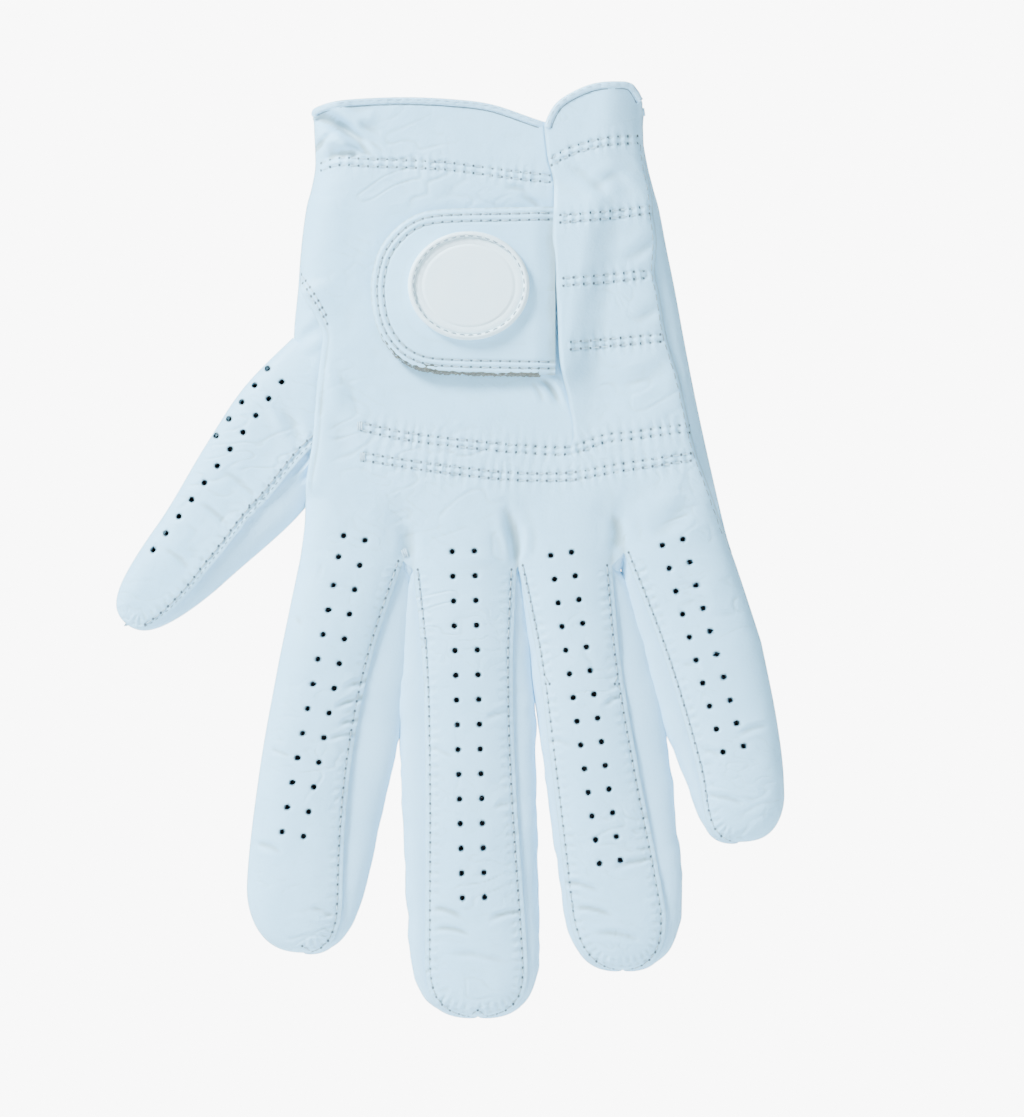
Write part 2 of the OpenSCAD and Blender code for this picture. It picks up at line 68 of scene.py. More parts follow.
HAND = "hand"
FINGERS = ("index", "middle", "ring", "little")
DIGIT_NAMES = FINGERS + ("thumb",)

# ---- Outlines, as [x, z] from the cuff towards the fingertips ----
# Stations of each digit: [x, z, half width of its back].
DIGITS = {
    "index": [
        (-29.5, -106, 11.5), (-35.7, -130, 10.0), (-40.4, -155, 10.0), (-42.9, -182, 10.7),
        (-41.5, -198, 10.7),
    ],
    "middle": [
        (-3.6, -108, 12.1), (-2.9, -130, 10.6), (-2.2, -158, 10.6), (-0.9, -199, 12.0),
        (-0.5, -213, 12.0),
    ],
    "ring": [
        (19.9, -107, 11.0), (23.3, -130, 9.7), (27, -155, 10.2), (31.8, -186, 11.4), (33.5, -202, 11.4),
    ],
    "little": [
        (45.3, -104, 11.6), (52.3, -125, 10.4), (58, -145, 9.8), (61, -160, 9.2), (60.8, -172, 9.2),
    ],
    "thumb": [
        (-32, -64.4, 16), (-44.6, -74.95, 14.4), (-54.8, -88.2, 13.2), (-68.5, -104.5, 9.9),
        (-83.5, -120.5, 8.5),
    ],
}
# Direction across a digit, from its left to its right; the fingers' own is [1, 0].
ACROSS = {"thumb": (0.74, -0.67)}
# How far each side stands out beyond the seam: one number for a side strip between two seams, and one
# number for each station where the leather just folds over.
SIDE_OUT = {
    "index": {LEFT: (1.4, 1.7, 1.4, 1.2, 1.2), RIGHT: 10.2},
    "middle": {LEFT: 6.2, RIGHT: 5.2},
    "ring": {LEFT: 1.9, RIGHT: 8.2},
    "little": {LEFT: 5.0, RIGHT: (2.2, 3.4, 2.2, 1.3, 1.3)},
    "thumb": {LEFT: (0.3, 0.3, 0.3, 0.3, 0.3), RIGHT: (0.5, 0.5, 0.5, 0.7, 0.7)},
}

# Station near which the leather of each digit is split between its two bends.
SPLIT_NEAR = {"index": 1.1, "middle": 1.25, "ring": 1.2, "little": 1.22, "thumb": 2.2}
# Air holes: middles of the first and last row, and the number of rows.
HOLES = {
    "index": ((-29.4, -100.6), (-43.8, -169.9), 13),
    "middle": ((-3.9, -103.7), (-1.5, -184.8), 15),
    "ring": ((19, -104.3), (30.4, -176.4), 14),
    "little": ((45.1, -101.6), (59.3, -150), 10),
    "thumb": ((-46.5, -64.0), (-76.7, -103.4), 11),
}
# How far apart the two columns of each finger are, and the size of each hole.
HOLE_COLUMNS = {"index": 5.1, "middle": 5.2, "ring": 4.9, "little": 5.0}
HOLE_R = 0.7
HOLE_DEPTH = 2.1
# The thumb's second, outer column of air holes.
THUMB_OUTER_COLUMN = (-3.4, 3.2)
THUMB_OUTER_ROWS = 5

BACK_LEFT = [
    (-39.3, 1), (-38.8, -9.4), (-38.8, -14), (-39.7, -18.8), (-40.9, -23.5), (-42.1, -33), (-42.3, -41),
    (-40.8, -45), (-38.9, -48.2), (-37.6, -51), (-36.8, -53.6), (-37.2, -57), (-38.4, -67.4),
    (-39.2, -77.7), (-40.7, -87), (-41, -91), (-41.3, -98), (-42.4, -106),
]
# The palm stands out past the back between the cuff and the index finger.
SILHOUETTE_LEFT = [
    *BACK_LEFT[:6], (-42.8, -42.3), (-43.7, -51.7), (-43.6, -60), (-42, -80), *BACK_LEFT[-3:],
]
PINKY_SEAM = [
    (38.2, 1), (38.7, -12), (40.2, -19.7), (40.6, -25), (41.4, -31), (41, -38.5), (42.1, -43.8),
    (43.6, -53), (46.8, -63.9), (49, -74), (50.7, -80.8), (53.4, -88), (56.3, -96), (59.1, -104),
]
SILHOUETTE_RIGHT = [
    (38.7, 1.2), (38.3, -6.1), (39.3, -12.7), (40.8, -18.8), (42.1, -23.5), (43.9, -32.9), (45.8, -42.3),
    (48.4, -56.4), (51.2, -70.5), (54.3, -84.6), (57.6, -98.7), (59.2, -104),
]
CUFF_MAIN = [
    (-39.5, -1.5), (-38.6, 0.3), (-31.5, 1.9), (-19, 2.5), (-7.3, 2.1), (3, 0.8), (14.8, -3.1), (24, -5),
]
CUFF_FLAP = [
    (15, -4.3), (15.9, -1.9), (17.8, 1.1), (21.4, 3.6), (26.3, 5.6), (31.3, 6.2), (35.5, 5.8),
    (38.2, 2.2),
]
CUFF_PALM = [(-39.3, -0.5), (-20, -2), (0, -2.6), (20, -2), (38.7, 0.5)]
VENT_EDGE = [
    (15, -4.3), (15.8, -11.4), (17.2, -17.3), (17.2, -24.2), (17, -30.6), (17.7, -39.5), (18.2, -49.4),
    (18.7, -59.2), (20.6, -68.2), (21.5, -72.6), (21.9, -76.6), (21.2, -80.4), (22.8, -83.6),
]
# The line about which the flap lifts, and where the back's leather ends below the vent.
FOLD_FOOT = (22.8, -81)
FOLD_HEAD = (36.8, 6.5)
SPLIT_X = 22.8
VENT_FOOT_Z = -83.4

# Half thicknesses of the empty glove and, from LEATHER_T on, thicknesses of its sheets.
HAND_T = 7.2
FINGER_T = 6.6
SEAM_T = 4.4
THUMB_T = 5.4
THUMB_MID_Y = 1.0
LEATHER_T = 0.8
TAB_T = 1.2
TAPE_T = 0.6
# Height of the free, rolled left edge, and the z from which the hand's relief passes into the fingers.
EDGE_ROLL = 5.3
ROOT_BLEND_Z = -84


# ---- Curves ----
def smooth(t):
    """An even rise from 0 to 1."""
    t = np.clip(t, 0, 1)
    return t * t * (3 - 2 * t)


def bell(distance, width):
    """1 at no distance, falling to about a third at the width and then to nothing."""
    return np.exp(-((distance / width) ** 2))


def unit(vector):
    return vector / np.linalg.norm(vector)


def lengths_along(path):
    """How far each point of a path is from its start."""
    return np.r_[0, np.cumsum(np.linalg.norm(np.diff(path, axis=0), axis=1))]


def directions(path):
    """The direction of a path at each of its points."""
    run = np.gradient(path, axis=0)
    return run / np.maximum(np.linalg.norm(run, axis=1), 1e-9)[:, None]


def along(points, u):
    """Points on the smooth curve through the given ones, with u counted in stations."""
    p = np.asarray(points, float)
    u = np.atleast_1d(np.asarray(u, float))
    last = len(p) - 1
    k = np.clip(np.floor(u).astype(int), 0, last - 1)
    t = (u - k)[:, None]
    a, b, c, d = p[np.maximum(k - 1, 0)], p[k], p[k + 1], p[np.minimum(k + 2, last)]
    return 0.5 * (2 * b + (c - a) * t + (2 * a - 5 * b + 4 * c - d) * t * t + (3 * (b - c) + d - a) * t**3)


def curve(points, per_span=12):
    """Fine points on the smooth curve through the given ones."""
    return along(points, np.linspace(0, len(points) - 1, (len(points) - 1) * per_span + 1))


def x_of_z(points):
    """The curve's x as a function of z, for a curve that only goes down."""
    c = curve(points)
    order = np.argsort(c[:, 1])
    zs, xs = c[order, 1], c[order, 0]
    return lambda z: np.interp(z, zs, xs)


def z_of_x(points):
    """The curve's z as a function of x."""
    c = curve(points)
    order = np.argsort(c[:, 0])
    xs, zs = c[order, 0], c[order, 1]
    return lambda x: np.interp(x, xs, zs)


def resample(path, step):
    """Points at an even distance along a path of any dimension."""
    path = np.asarray(path, float)
    lengths = lengths_along(path)
    at = np.linspace(0, lengths[-1], max(2, int(round(lengths[-1] / step)) + 1))
    return np.stack([np.interp(at, lengths, path[:, i]) for i in range(path.shape[1])], 1)


back_left = x_of_z(BACK_LEFT)
silhouette_left = x_of_z(SILHOUETTE_LEFT)
pinky_seam = x_of_z(PINKY_SEAM)
silhouette_right = x_of_z(SILHOUETTE_RIGHT)
cuff_main = z_of_x(CUFF_MAIN)
cuff_flap = z_of_x(CUFF_FLAP)
cuff_palm = z_of_x(CUFF_PALM)
vent_edge = x_of_z(VENT_EDGE)


# ---- Noise ----
def lattice(ix, iz, seed):
    """A number from 0 to 1 for each corner of a square lattice."""
    h = np.sin(ix * 127.1 + iz * 311.7 + seed * 74.7) * 43758.5453
    return h - np.floor(h)


def soft_noise(x, z, size, seed=0):
    """Smooth noise from -1 to 1, with lumps of the given size."""
    x, z = x / size, z / size
    ix, iz = np.floor(x), np.floor(z)
    fx, fz = smooth(x - ix), smooth(z - iz)
    top = lattice(ix, iz, seed) * (1 - fx) + lattice(ix + 1, iz, seed) * fx
    low = lattice(ix, iz + 1, seed) * (1 - fx) + lattice(ix + 1, iz + 1, seed) * fx
    return 2 * (top * (1 - fz) + low * fz) - 1


def lumps(x, z, layers):
    """Noises laid over each other: each layer is [height, size, seed]."""
    return sum(height * soft_noise(x, z, size, seed) for height, size, seed in layers)


# ---- Stitch rows on the hand: the upper thread of each double row ----
ROW_PAIR = 1.7
STITCH_PITCH = 2.26
CUFF_ROW = [
    (-37.2, -12.8), (-33.1, -11.7), (-26, -12), (-10.2, -12.6), (-1.3, -13.6), (7, -14.7), (16.3, -15.7),
]
FLAP_ROWS = [
    [(16.8, -11.8), (20.9, -9.5), (25.1, -8.1), (29.7, -7.1), (36.9, -6.4)],
    [(18.8, -25.3), (29, -24.4), (39.6, -23)],
    [(19.5, -40), (29, -39.2), (38.3, -38.1)],
    [(21.2, -54.9), (31, -54), (42.2, -53)],
]
KNUCKLE_ROWS = [
    [(-27.8, -73.6), (-20.3, -75.4), (-10.7, -76.9), (-0.8, -78), (9, -78.9), (20.7, -79.3), (29, -76.6),
     (36.2, -75.7), (45.8, -74.3), (49, -74.2)],
    [(-27.2, -80.8), (-22, -81.6), (-8.7, -83.6), (7, -85.3), (20.3, -85.4), (28.2, -84.1), (36.1, -82.8),
     (49.3, -80.8)],
]
GUSSET_ROW = [(-41.8, -38.8), (-39.6, -42.2), (-37.6, -45.4), (-36, -48.4)]


def row_paths(row):
    """The two threads of a double row, as fine paths."""
    upper = resample(curve(row), 0.5)
    return upper, upper - np.array([0, ROW_PAIR])


def nearest_on_path(x, z, path, reach):
    """Distance to a path and how far along it, for the points within reach; others get a large distance."""
    shape = x.shape
    x, z = x.ravel(), z.ravel()
    lo, hi = path.min(0) - reach, path.max(0) + reach
    near = np.nonzero((x > lo[0]) & (x < hi[0]) & (z > lo[1]) & (z < hi[1]))[0]
    distance = np.full(x.shape, 1e3)
    run = np.zeros(x.shape)
    side = np.zeros(x.shape)
    if len(near):
        lengths = lengths_along(path)
        p = np.stack([x[near], z[near]], 1)
        d2 = ((p[:, None] - path[None]) ** 2).sum(2)
        k = d2.argmin(1)
        distance[near] = np.sqrt(d2[np.arange(len(k)), k])
        run[near] = lengths[k]
        side[near] = np.sign(p[:, 1] - path[k, 1])
    return distance.reshape(shape), run.reshape(shape), side.reshape(shape)


def row_relief(x, z, row, reach, gather, seed):
    """How the leather lies round a double row: a ridge between its threads, a dip at each needle hole and
    gathers that fade away above and below."""
    upper, lower = row_paths(row)
    middle = (upper + lower) / 2
    d, run, side = nearest_on_path(x, z, middle, reach)
    wobble = 0.35 * soft_noise(run, d * 0 + seed, 5.0, seed)
    wave = np.cos(2 * np.pi * (run / STITCH_PITCH + wobble))
    size = 0.65 + 0.35 * soft_noise(run, side * 7 + seed, 6.0, seed + 3)
    body = bell(d, reach * 0.42)
    relief = gather * body * size * (0.34 * wave - 0.25)
    groove = bell(d - ROW_PAIR / 2, 0.42)
    relief -= 0.24 * groove * (0.7 - 0.3 * wave)
    relief += 0.10 * bell(d, 0.5) * (0.6 + 0.4 * wave)
    return relief


# Creases: [x0, z0, x1, z1, half width, depth]; a negative depth is a ridge.
# They are chosen where the photo shows the leather folded.
HAND_CREASES = [
    (-40, -1.5, -28.5, -6.5, 1.5, 2.3), (-35.5, -2.5, -25, -11.8, 1.0, 1.1),
    (-38.5, -7, -30, -9.5, 1.3, -1.2), (-39.5, -10.5, -33.5, -5.5, 0.8, 1.0),
    (-31, -5.5, -22.5, -10.5, 0.7, 0.5), (-38, -12.5, -27, -10.5, 0.9, 0.7),
    (-30, -4, -24, -2, 1.5, -0.5), (20, -13, 31, -22.5, 1.5, 0.4), (25, -20.5, 35, -14.5, 1.4, 0.3),
    (28, -13, 38, -19, 1.4, -0.3), (9, -20, 14.5, -24, 0.9, 0.5), (6, -18.5, 12, -20, 0.8, 0.35),
    (14, -63, 18.5, -69, 0.8, 0.5), (16.5, -63, 20.3, -70, 0.7, -0.35), (12, -64, 15, -69, 0.7, 0.3),
    (-41.5, -46, -38, -52.5, 0.8, 0.6), (-42.6, -44.5, -40, -49, 0.8, -0.4),
    (6, -93, 8.5, -107, 1.3, 0.8), (3.5, -97, 7.5, -107, 1.0, -0.3), (11, -97, 9.4, -107, 1.0, -0.25),
    (-17, -98, -17, -106, 1.5, 0.6), (31.5, -95, 32.2, -104, 1.4, 0.6), (-37, -60, -33, -72, 2.0, -0.4),
    (-38.5, -66, -31, -83, 2.2, 0.35), (-36, -88, -22, -96, 3.0, -0.35), (42, -30, 33, -36, 1.5, 0.4),
    (43, -46, 35, -50, 1.4, 0.35), (45, -60, 33, -64, 2.0, 0.4), (48, -88, 36, -95, 2.4, -0.35),
    (50, -92, 40, -100, 2.0, 0.35),
]
DIGIT_CREASES = {
    "index": [
        (-32, -136, -24, -133.5, 0.8, 0.45), (-34, -140.5, -25.5, -137.5, 0.7, 0.5),
        (-33, -144.5, -28, -143, 0.7, 0.4), (-36, -148, -28.5, -146.5, 0.6, 0.35),
        (-50, -150, -44, -152, 0.8, 0.3), (-53, -172, -46, -174.5, 0.9, 0.4),
        (-40, -187, -34, -190, 0.9, 0.3), (-46, -118, -41, -121, 1.0, 0.3),
    ],
    "middle": [
        (-12, -187, -4, -189.5, 0.8, 0.5), (-11, -192, -2, -193.5, 0.7, 0.45),
        (2, -190, 10.5, -188, 0.8, 0.4), (-12.5, -150, -6, -152, 0.8, 0.3),
        (1, -143, 7.5, -141.5, 0.8, 0.35), (3, -164, 9, -162, 0.8, 0.3), (-8, -198, 6, -200, 0.9, 0.3),
    ],
    "ring": [
        (19, -181, 28, -183.5, 0.8, 0.45), (21, -187, 31, -189, 0.7, 0.45),
        (31, -178, 42, -176, 0.8, 0.4), (15.5, -148, 22, -149.5, 0.8, 0.3),
        (29, -140, 34, -137.5, 0.8, 0.35), (26, -193, 38, -195, 0.8, 0.35),
    ],
    "little": [
        (51, -150, 57, -152, 0.8, 0.4), (60, -147, 68, -144.5, 0.8, 0.35), (53, -161, 62, -163, 0.8, 0.4),
        (47, -130, 52, -131.5, 0.8, 0.3),
    ],
    "thumb": [
        (-60, -85, -52, -92, 0.9, 0.35), (-66, -92, -58, -99, 0.8, 0.35), (-46, -70, -42, -80, 1.3, 0.45),
        (-74, -103, -68, -108, 0.8, 0.3), (-52, -66, -46, -78, 1.2, -0.3),
    ],
}


def crease_relief(x, z, creases):
    """Straight or slightly bent dips, each with a low lip on both sides."""
    relief = np.zeros(x.shape)
    for x0, z0, x1, z1, half, depth in creases:
        run = np.array([x1 - x0, z1 - z0])
        length = np.linalg.norm(run)
        run = run / length
        s = (x - x0) * run[0] + (z - z0) * run[1]
        bend = 0.12 * length * np.sin(np.pi * np.clip(s / length, 0, 1))
        d = -(x - x0) * run[1] + (z - z0) * run[0] - bend * 0.5
        fade = np.exp(-(((s / length - 0.5) / 0.42) ** 4))
        relief -= depth * fade * bell(d, half)
        relief += 0.35 * depth * fade * bell(np.abs(d) - 2 * half, half)
    return relief


def wrinkle_relief(x, z, size, depth, seed, lie=0.0, stretch=2.2):
    """Fine creases along the zero lines of a noise, longer one way, strong only in places."""
    turn = np.radians(lie)
    run = x * np.cos(turn) + z * np.sin(turn)
    rise = z * np.cos(turn) - x * np.sin(turn)
    wander = 1.5 * soft_noise(x, z, 3 * size, seed + 3)
    net = soft_noise(run / stretch + wander, rise + wander, size, seed)
    place = smooth((soft_noise(x, z, 5 * size, seed + 1) + 0.15) / 0.8)
    crease = bell(net, 0.16)
    lips = bell(np.abs(net) - 0.38, 0.2)
    return -depth * place * crease + 0.3 * depth * place * lips


# ---- Shape of the digits ----
def folded(name, side):
    """True where a side is folded leather, with no seam."""
    return isinstance(SIDE_OUT[name][side], tuple)


def straight_end(name):
    """The station at which the rounded end of a digit begins."""
    return len(DIGITS[name]) - 2


def digit_rows(name, step):
    """Stations down a digit, one of them exactly at its split, and the part of the full width at each;
    they lie closer together round its end."""
    pts = curve([p[:2] for p in DIGITS[name]][:-1], 30)
    length = np.linalg.norm(np.diff(pts, axis=0), axis=1).sum()
    n = int(length / step)
    main = np.linspace(0, straight_end(name), n, endpoint=False)
    angle = np.radians(np.linspace(0, 90, max(8, int(26 / step / 1.3))))
    stations = np.r_[main, straight_end(name) + np.sin(angle)]
    stations[int(np.argmin(np.abs(stations - SPLIT_AT[name])))] = SPLIT_AT[name]
    return stations, np.r_[np.ones(n), np.cos(angle)]


def mid_y(name):
    """Where the middle plane of a digit lies."""
    return THUMB_MID_Y if name == "thumb" else 0


def across(name):
    return np.array(ACROSS.get(name, (1.0, 0.0)))


def station_grid(name, step, columns):
    """Stations down a digit and the share of its width at each, and grids of column, station and share."""
    stations, shares = digit_rows(name, step)
    s, u = np.meshgrid(columns, stations)
    return stations, shares, s, u, np.broadcast_to(shares[:, None], u.shape)


def out_at(name, side, u):
    """How far a side stands out at the given stations."""
    most = SIDE_OUT[name][side]
    if folded(name, side):
        return np.interp(u, np.arange(len(most)), most)
    share = np.clip(u / (straight_end(name) + 1), 0, 1)
    rise = np.sin(np.pi * share**0.7)
    return np.maximum(most * rise, 1.1 * smooth(share * 8))


def thickness(name, u, end):
    """Half thickness of a digit, which thins towards its tip."""
    full = THUMB_T if name == "thumb" else FINGER_T
    taper = 1 - 0.12 * np.clip(u / (straight_end(name) + 1), 0, 1)
    return full * taper * np.maximum(end, 0) ** 0.55


def section_height(name, u, end, s):
    """Height of a digit's back above its middle plane; s is -1 at its left edge and 1 at its right edge."""
    t = thickness(name, u, end)
    edge_t = t * SEAM_T / FINGER_T
    a = np.clip(np.abs(s), 0, 1)
    rolled = t * (1 - a**2.5) ** (1 / 2.5)
    seamed = edge_t + (t - edge_t) * (1 - a**2.4)
    left = rolled if folded(name, LEFT) else seamed
    right = rolled if folded(name, RIGHT) else seamed
    return np.where(s < 0, left, right)


def half_width(name, side, u, end, full_w):
    """Width of a digit's back on one side of its middle line."""
    stands_out = out_at(name, side, u) * np.maximum(end, 0) ** 0.5 if folded(name, side) else 0
    return full_w * end + stands_out


def digit_points(name, u, end, s):
    """Places on the back of a digit before its relief: x, z, height. All arguments are grids."""
    station = along(DIGITS[name], u.ravel())
    cx, cz, w = (station[:, i].reshape(u.shape) for i in range(3))
    width = np.where(s < 0, half_width(name, LEFT, u, end, w), half_width(name, RIGHT, u, end, w))
    side = across(name)
    return cx + side[0] * s * width, cz + side[1] * s * width, section_height(name, u, end, s)


def even_columns(name, step):
    """Columns from -1 to 1, bunched towards a folded side where the surface turns away."""
    half = np.mean([p[2] for p in DIGITS[name]])
    n = int(half / step)
    columns = []
    for side in (LEFT, RIGHT):
        t = np.linspace(0, 1, n + 1)
        part = np.sin(t * np.pi / 2) if folded(name, side) else t
        columns.append(side * part)
    return np.unique(np.r_[columns[0][::-1], columns[1]])


def seam_path(name, side, u, end, inset=0.0):
    """The seam along one side of a digit, or a line inside it."""
    station = along(DIGITS[name], u)
    width = np.maximum(station[:, 2] * end - inset, 0)
    return station[:, :2] + across(name) * side * width[:, None]


ROOT_Z = {name: DIGITS[name][0][1] for name in FINGERS}


def hole_centres(name):
    """Middles of the air holes of a digit, kept clear of the line where its leather begins."""
    first, last, rows = HOLES[name]
    first, last = np.array(first), np.array(last)
    run = unit(last - first)
    normal = np.array([-run[1], run[0]])
    centres = []
    for i in range(rows):
        at = first + (last - first) * i / (rows - 1)
        if name == "thumb":
            centres.append(at)
            if i < THUMB_OUTER_ROWS:
                centres.append(at + np.array(THUMB_OUTER_COLUMN))
        else:
            centres += [at - normal * HOLE_COLUMNS[name] / 2, at + normal * HOLE_COLUMNS[name] / 2]
    centres = np.array(centres)
    if name != "thumb":
        from_root = centres[:, 1] - ROOT_Z[name]
        close = np.abs(from_root) < 1.0
        centres[close, 1] = ROOT_Z[name] + np.where(from_root[close] > 0, 1.0, -1.0)
    return centres


def clear_split(name):
    """The station near the wished one that lies furthest from any air hole."""
    tries = SPLIT_NEAR[name] + np.linspace(-0.1, 0.1, 21)
    spots = along(DIGITS[name], tries)[:, :2]
    run = unit(spots[-1] - spots[0])
    room = [np.abs((hole_centres(name) - spot) @ run).min() for spot in spots]
    return float(tries[int(np.argmax(room))])


SPLIT_AT = {name: clear_split(name) for name in DIGIT_NAMES}


def punch(x, z, h, dark, centres, step):
    """Pulls the grid round each air hole into a clean circle and sinks what lies inside it."""
    band = 0.52 * step
    for cx, cz in centres:
        dx, dz = x - cx, z - cz
        near = (np.abs(dx) < 2) & (np.abs(dz) < 2)
        if not near.any():
            continue
        d = np.hypot(dx, dz)
        ring = near & (np.abs(d - HOLE_R) < band)
        inside = near & (d <= HOLE_R - band)
        k = np.where(d > 1e-6, HOLE_R / np.maximum(d, 1e-6), 1)
        x[ring] = cx + dx[ring] * k[ring]
        z[ring] = cz + dz[ring] * k[ring]
        h[near] -= 0.16 * bell(np.maximum(d[near] - HOLE_R, 0), 0.35)
        h[inside] -= HOLE_DEPTH
        # Painted shade: the sunken floor of each hole is painted near black and its rim half dark.
        dark[inside] = 1
        dark[ring] = 0.5


# ---- Height of the back of the hand ----
ROUNDNESS = 2.4


def root_span(name):
    """Where a finger's back begins and ends across the hand."""
    x, _, w = DIGITS[name][0]
    zero, one = np.array([0.0]), np.array([1.0])
    return (x - half_width(name, LEFT, zero, one, w)[0], x + half_width(name, RIGHT, zero, one, w)[0])


ROOT_SPANS = {name: root_span(name) for name in FINGERS}
ROOT_POLY = np.array([(x, ROOT_Z[name]) for name in FINGERS for x in ROOT_SPANS[name]])


def root_z(x):
    """The line on which the hand's leather passes into the fingers."""
    return np.interp(x, ROOT_POLY[:, 0], ROOT_POLY[:, 1])


def crown(t):
    """The rounded rise of leather from its edge, from 0 to 1."""
    t = np.clip(t, 0, 1)
    return (1 - (1 - t) ** ROUNDNESS) ** (1 / ROUNDNESS)


def root_height(x):
    """Height across the row where the fingers begin."""
    h = np.full(x.shape, SEAM_T)
    for name in FINGERS:
        lo, hi = ROOT_SPANS[name]
        mid = DIGITS[name][0][0]
        s = np.where(x < mid, (x - mid) / (mid - lo), (x - mid) / (hi - mid))
        here = (x >= lo) & (x <= hi)
        zero, one = np.zeros(x.shape), np.ones(x.shape)
        h = np.where(here, section_height(name, zero, one, np.clip(s, -1, 1)), h)
    outside = (x < ROOT_SPANS["index"][0]) | (x > ROOT_SPANS["little"][1])
    return np.where(outside, 0, h)


def soft_root_height(x, share, left, right):
    """The root heights, evened out the more the further they are from the roots, and drawn in or out so
    that they end at the left and right edges given."""
    near_left = 1 - smooth((x - left) / 12)
    near_right = 1 - smooth((right - x) / 12)
    x = x + (ROOT_SPANS["index"][0] - left) * near_left + (ROOT_SPANS["little"][1] - right) * near_right
    spread = 5.0 * (1 - share) * (1 - near_left) * (1 - near_right)
    return sum(root_height(x + k * spread) for k in np.linspace(-1, 1, 9)) / 9


def edge_height_left(z):
    """Height of the back's left edge, which stands free only beside the thumb."""
    free = smooth((-39.5 - z) / 4) * smooth((z + 92) / 5)
    return EDGE_ROLL * free


def palm_edge_left(z):
    """Height of the palm's left edge."""
    return EDGE_ROLL * smooth((-53 - z) / 5) * smooth((z + 93) / 6)


def edge_height_right(z):
    """Height of the back's right edge, at the seam with the pinky side."""
    return 0.6 + 4.3 * smooth((-6 - z) / 18) * smooth((z + 104) / 16)


def hand_height(x, z):
    """Height of the back of the hand above the middle plane, before its relief."""
    left, right = back_left(z), pinky_seam(z)
    low_left, low_right = edge_height_left(z), edge_height_right(z)
    roll_left = 10 - 4 * smooth((-39.5 - z) / 4) * smooth((z + 92) / 5)
    h = (
        HAND_T
        - (HAND_T - low_left) * (1 - crown((x - left) / roll_left))
        - (HAND_T - low_right) * (1 - crown((right - x) / 11))
    )
    share = smooth((ROOT_BLEND_Z - z) / (ROOT_BLEND_Z - root_z(x)))
    return h * (1 - share) + soft_root_height(x, share, left, right) * share


def hand_relief(x, z):
    """Creases, gathers and soft unevenness on the back of the hand; it fades out at the finger roots."""
    relief = crease_relief(x, z, HAND_CREASES)
    for i, row in enumerate(KNUCKLE_ROWS):
        relief += row_relief(x, z, row, 6.5, 0.55, i + 1)
    relief += lumps(x, z, ((0.35, 16, 5), (0.14, 6, 8), (0.05, 2.2, 9)))
    relief += wrinkle_relief(x, z, 3.2, 0.16, 201, 20) + wrinkle_relief(x, z, 1.7, 0.07, 211, -35)
    return relief * smooth((z - root_z(x)) / 3)


def fold_distance(x, z):
    """Distance to the left of the flap's fold line."""
    run = unit(np.array(FOLD_HEAD) - np.array(FOLD_FOOT))
    return -(x - FOLD_FOOT[0]) * run[1] + (z - FOLD_FOOT[1]) * run[0]



def flap_lift(x, z):
    """How far the flap stands over the leather it laps."""
    over_tab = smooth((z + 68) / 8) * smooth((-17 - z) / 8)
    ramp = smooth((fold_distance(x, z) + 2) / 9)
    foot = smooth((z + 84) / 7)
    return ramp * foot * (1.15 + 1.7 * over_tab)


# ---- Mesh making ----
def blurred(values, reach=3, times=2):
    """Box blur of a grid."""
    for _ in range(times):
        for axis in (0, 1):
            margins = [(reach + 1, reach) if a == axis else (0, 0) for a in (0, 1)]
            padded = np.pad(values, margins, mode="edge")
            total = np.cumsum(padded, axis=axis)
            size = values.shape[axis]
            high = np.take(total, np.arange(size) + 2 * reach + 1, axis=axis)
            low = np.take(total, np.arange(size), axis=axis)
            values = (high - low) / (2 * reach + 1)
    return values


def mark_painted_shade(obj, height, depth=0.22):
    """Marks the hollows of a height grid, so that painted shade darkens the leather in them."""
    wide = np.clip((blurred(height, 5) - height) / (depth * 2.2), 0, 1)
    fine = np.clip((blurred(height, 2) - height) / depth, 0, 1)
    painted_crease_shade = np.clip(0.35 * wide + 0.9 * fine, 0, 1)
    attribute = obj.data.attributes.new("painted_crease_shade", "FLOAT", "POINT")
    attribute.data.foreach_set("value", painted_crease_shade.ravel().astype(np.float32))


def new_mesh(name, points, faces, dark=None):
    """A smooth mesh from points in mm; dark marks where shade is painted, as in holes and on darkened
    threads.
    """
    mesh = bpy.data.meshes.new(name)
    mesh.from_pydata([tuple(p) for p in points * MM], [], faces)
    mesh.update()
    mesh.polygons.foreach_set("use_smooth", [True] * len(mesh.polygons))
    attribute = mesh.attributes.new("dark", "FLOAT", "POINT")
    values = np.zeros(len(points)) if dark is None else dark.ravel()
    attribute.data.foreach_set("value", values.astype(np.float32))
    obj = bpy.data.objects.new(name, mesh)
    bpy.context.scene.collection.objects.link(obj)
    return obj


def grid_faces(rows, columns, flip=False):
    i = np.arange((rows - 1) * (columns - 1))
    r, c = i // (columns - 1), i % (columns - 1)
    a = r * columns + c
    quads = np.stack([a, a + 1, a + 1 + columns, a + columns], 1)
    if flip:
        quads = quads[:, ::-1]
    return quads


def grid_object(name, x, y, z, dark=None, flip=False):
    """A sheet from grids of its points."""
    rows, columns = x.shape
    points = np.stack([x.ravel(), y.ravel(), z.ravel()], 1)
    quads = grid_faces(rows, columns, flip)
    # The rows meet in one point at a fingertip, so squares of no area are left out.
    diagonal = np.linalg.norm(points[quads[:, 0]] - points[quads[:, 2]], axis=1)
    other = np.linalg.norm(points[quads[:, 1]] - points[quads[:, 3]], axis=1)
    quads = quads[(diagonal > 1e-4) & (other > 1e-4)]
    return new_mesh(name, points, quads.tolist(), dark)


def thicken(obj, thickness_mm=LEATHER_T, offset=-1.0):
    """Gives a sheet its leather thickness, on the side away from its normals."""
    solid = obj.modifiers.new("thickness", "SOLIDIFY")
    solid.thickness = thickness_mm * MM
    solid.offset = offset
    solid.use_rim = True
    return obj


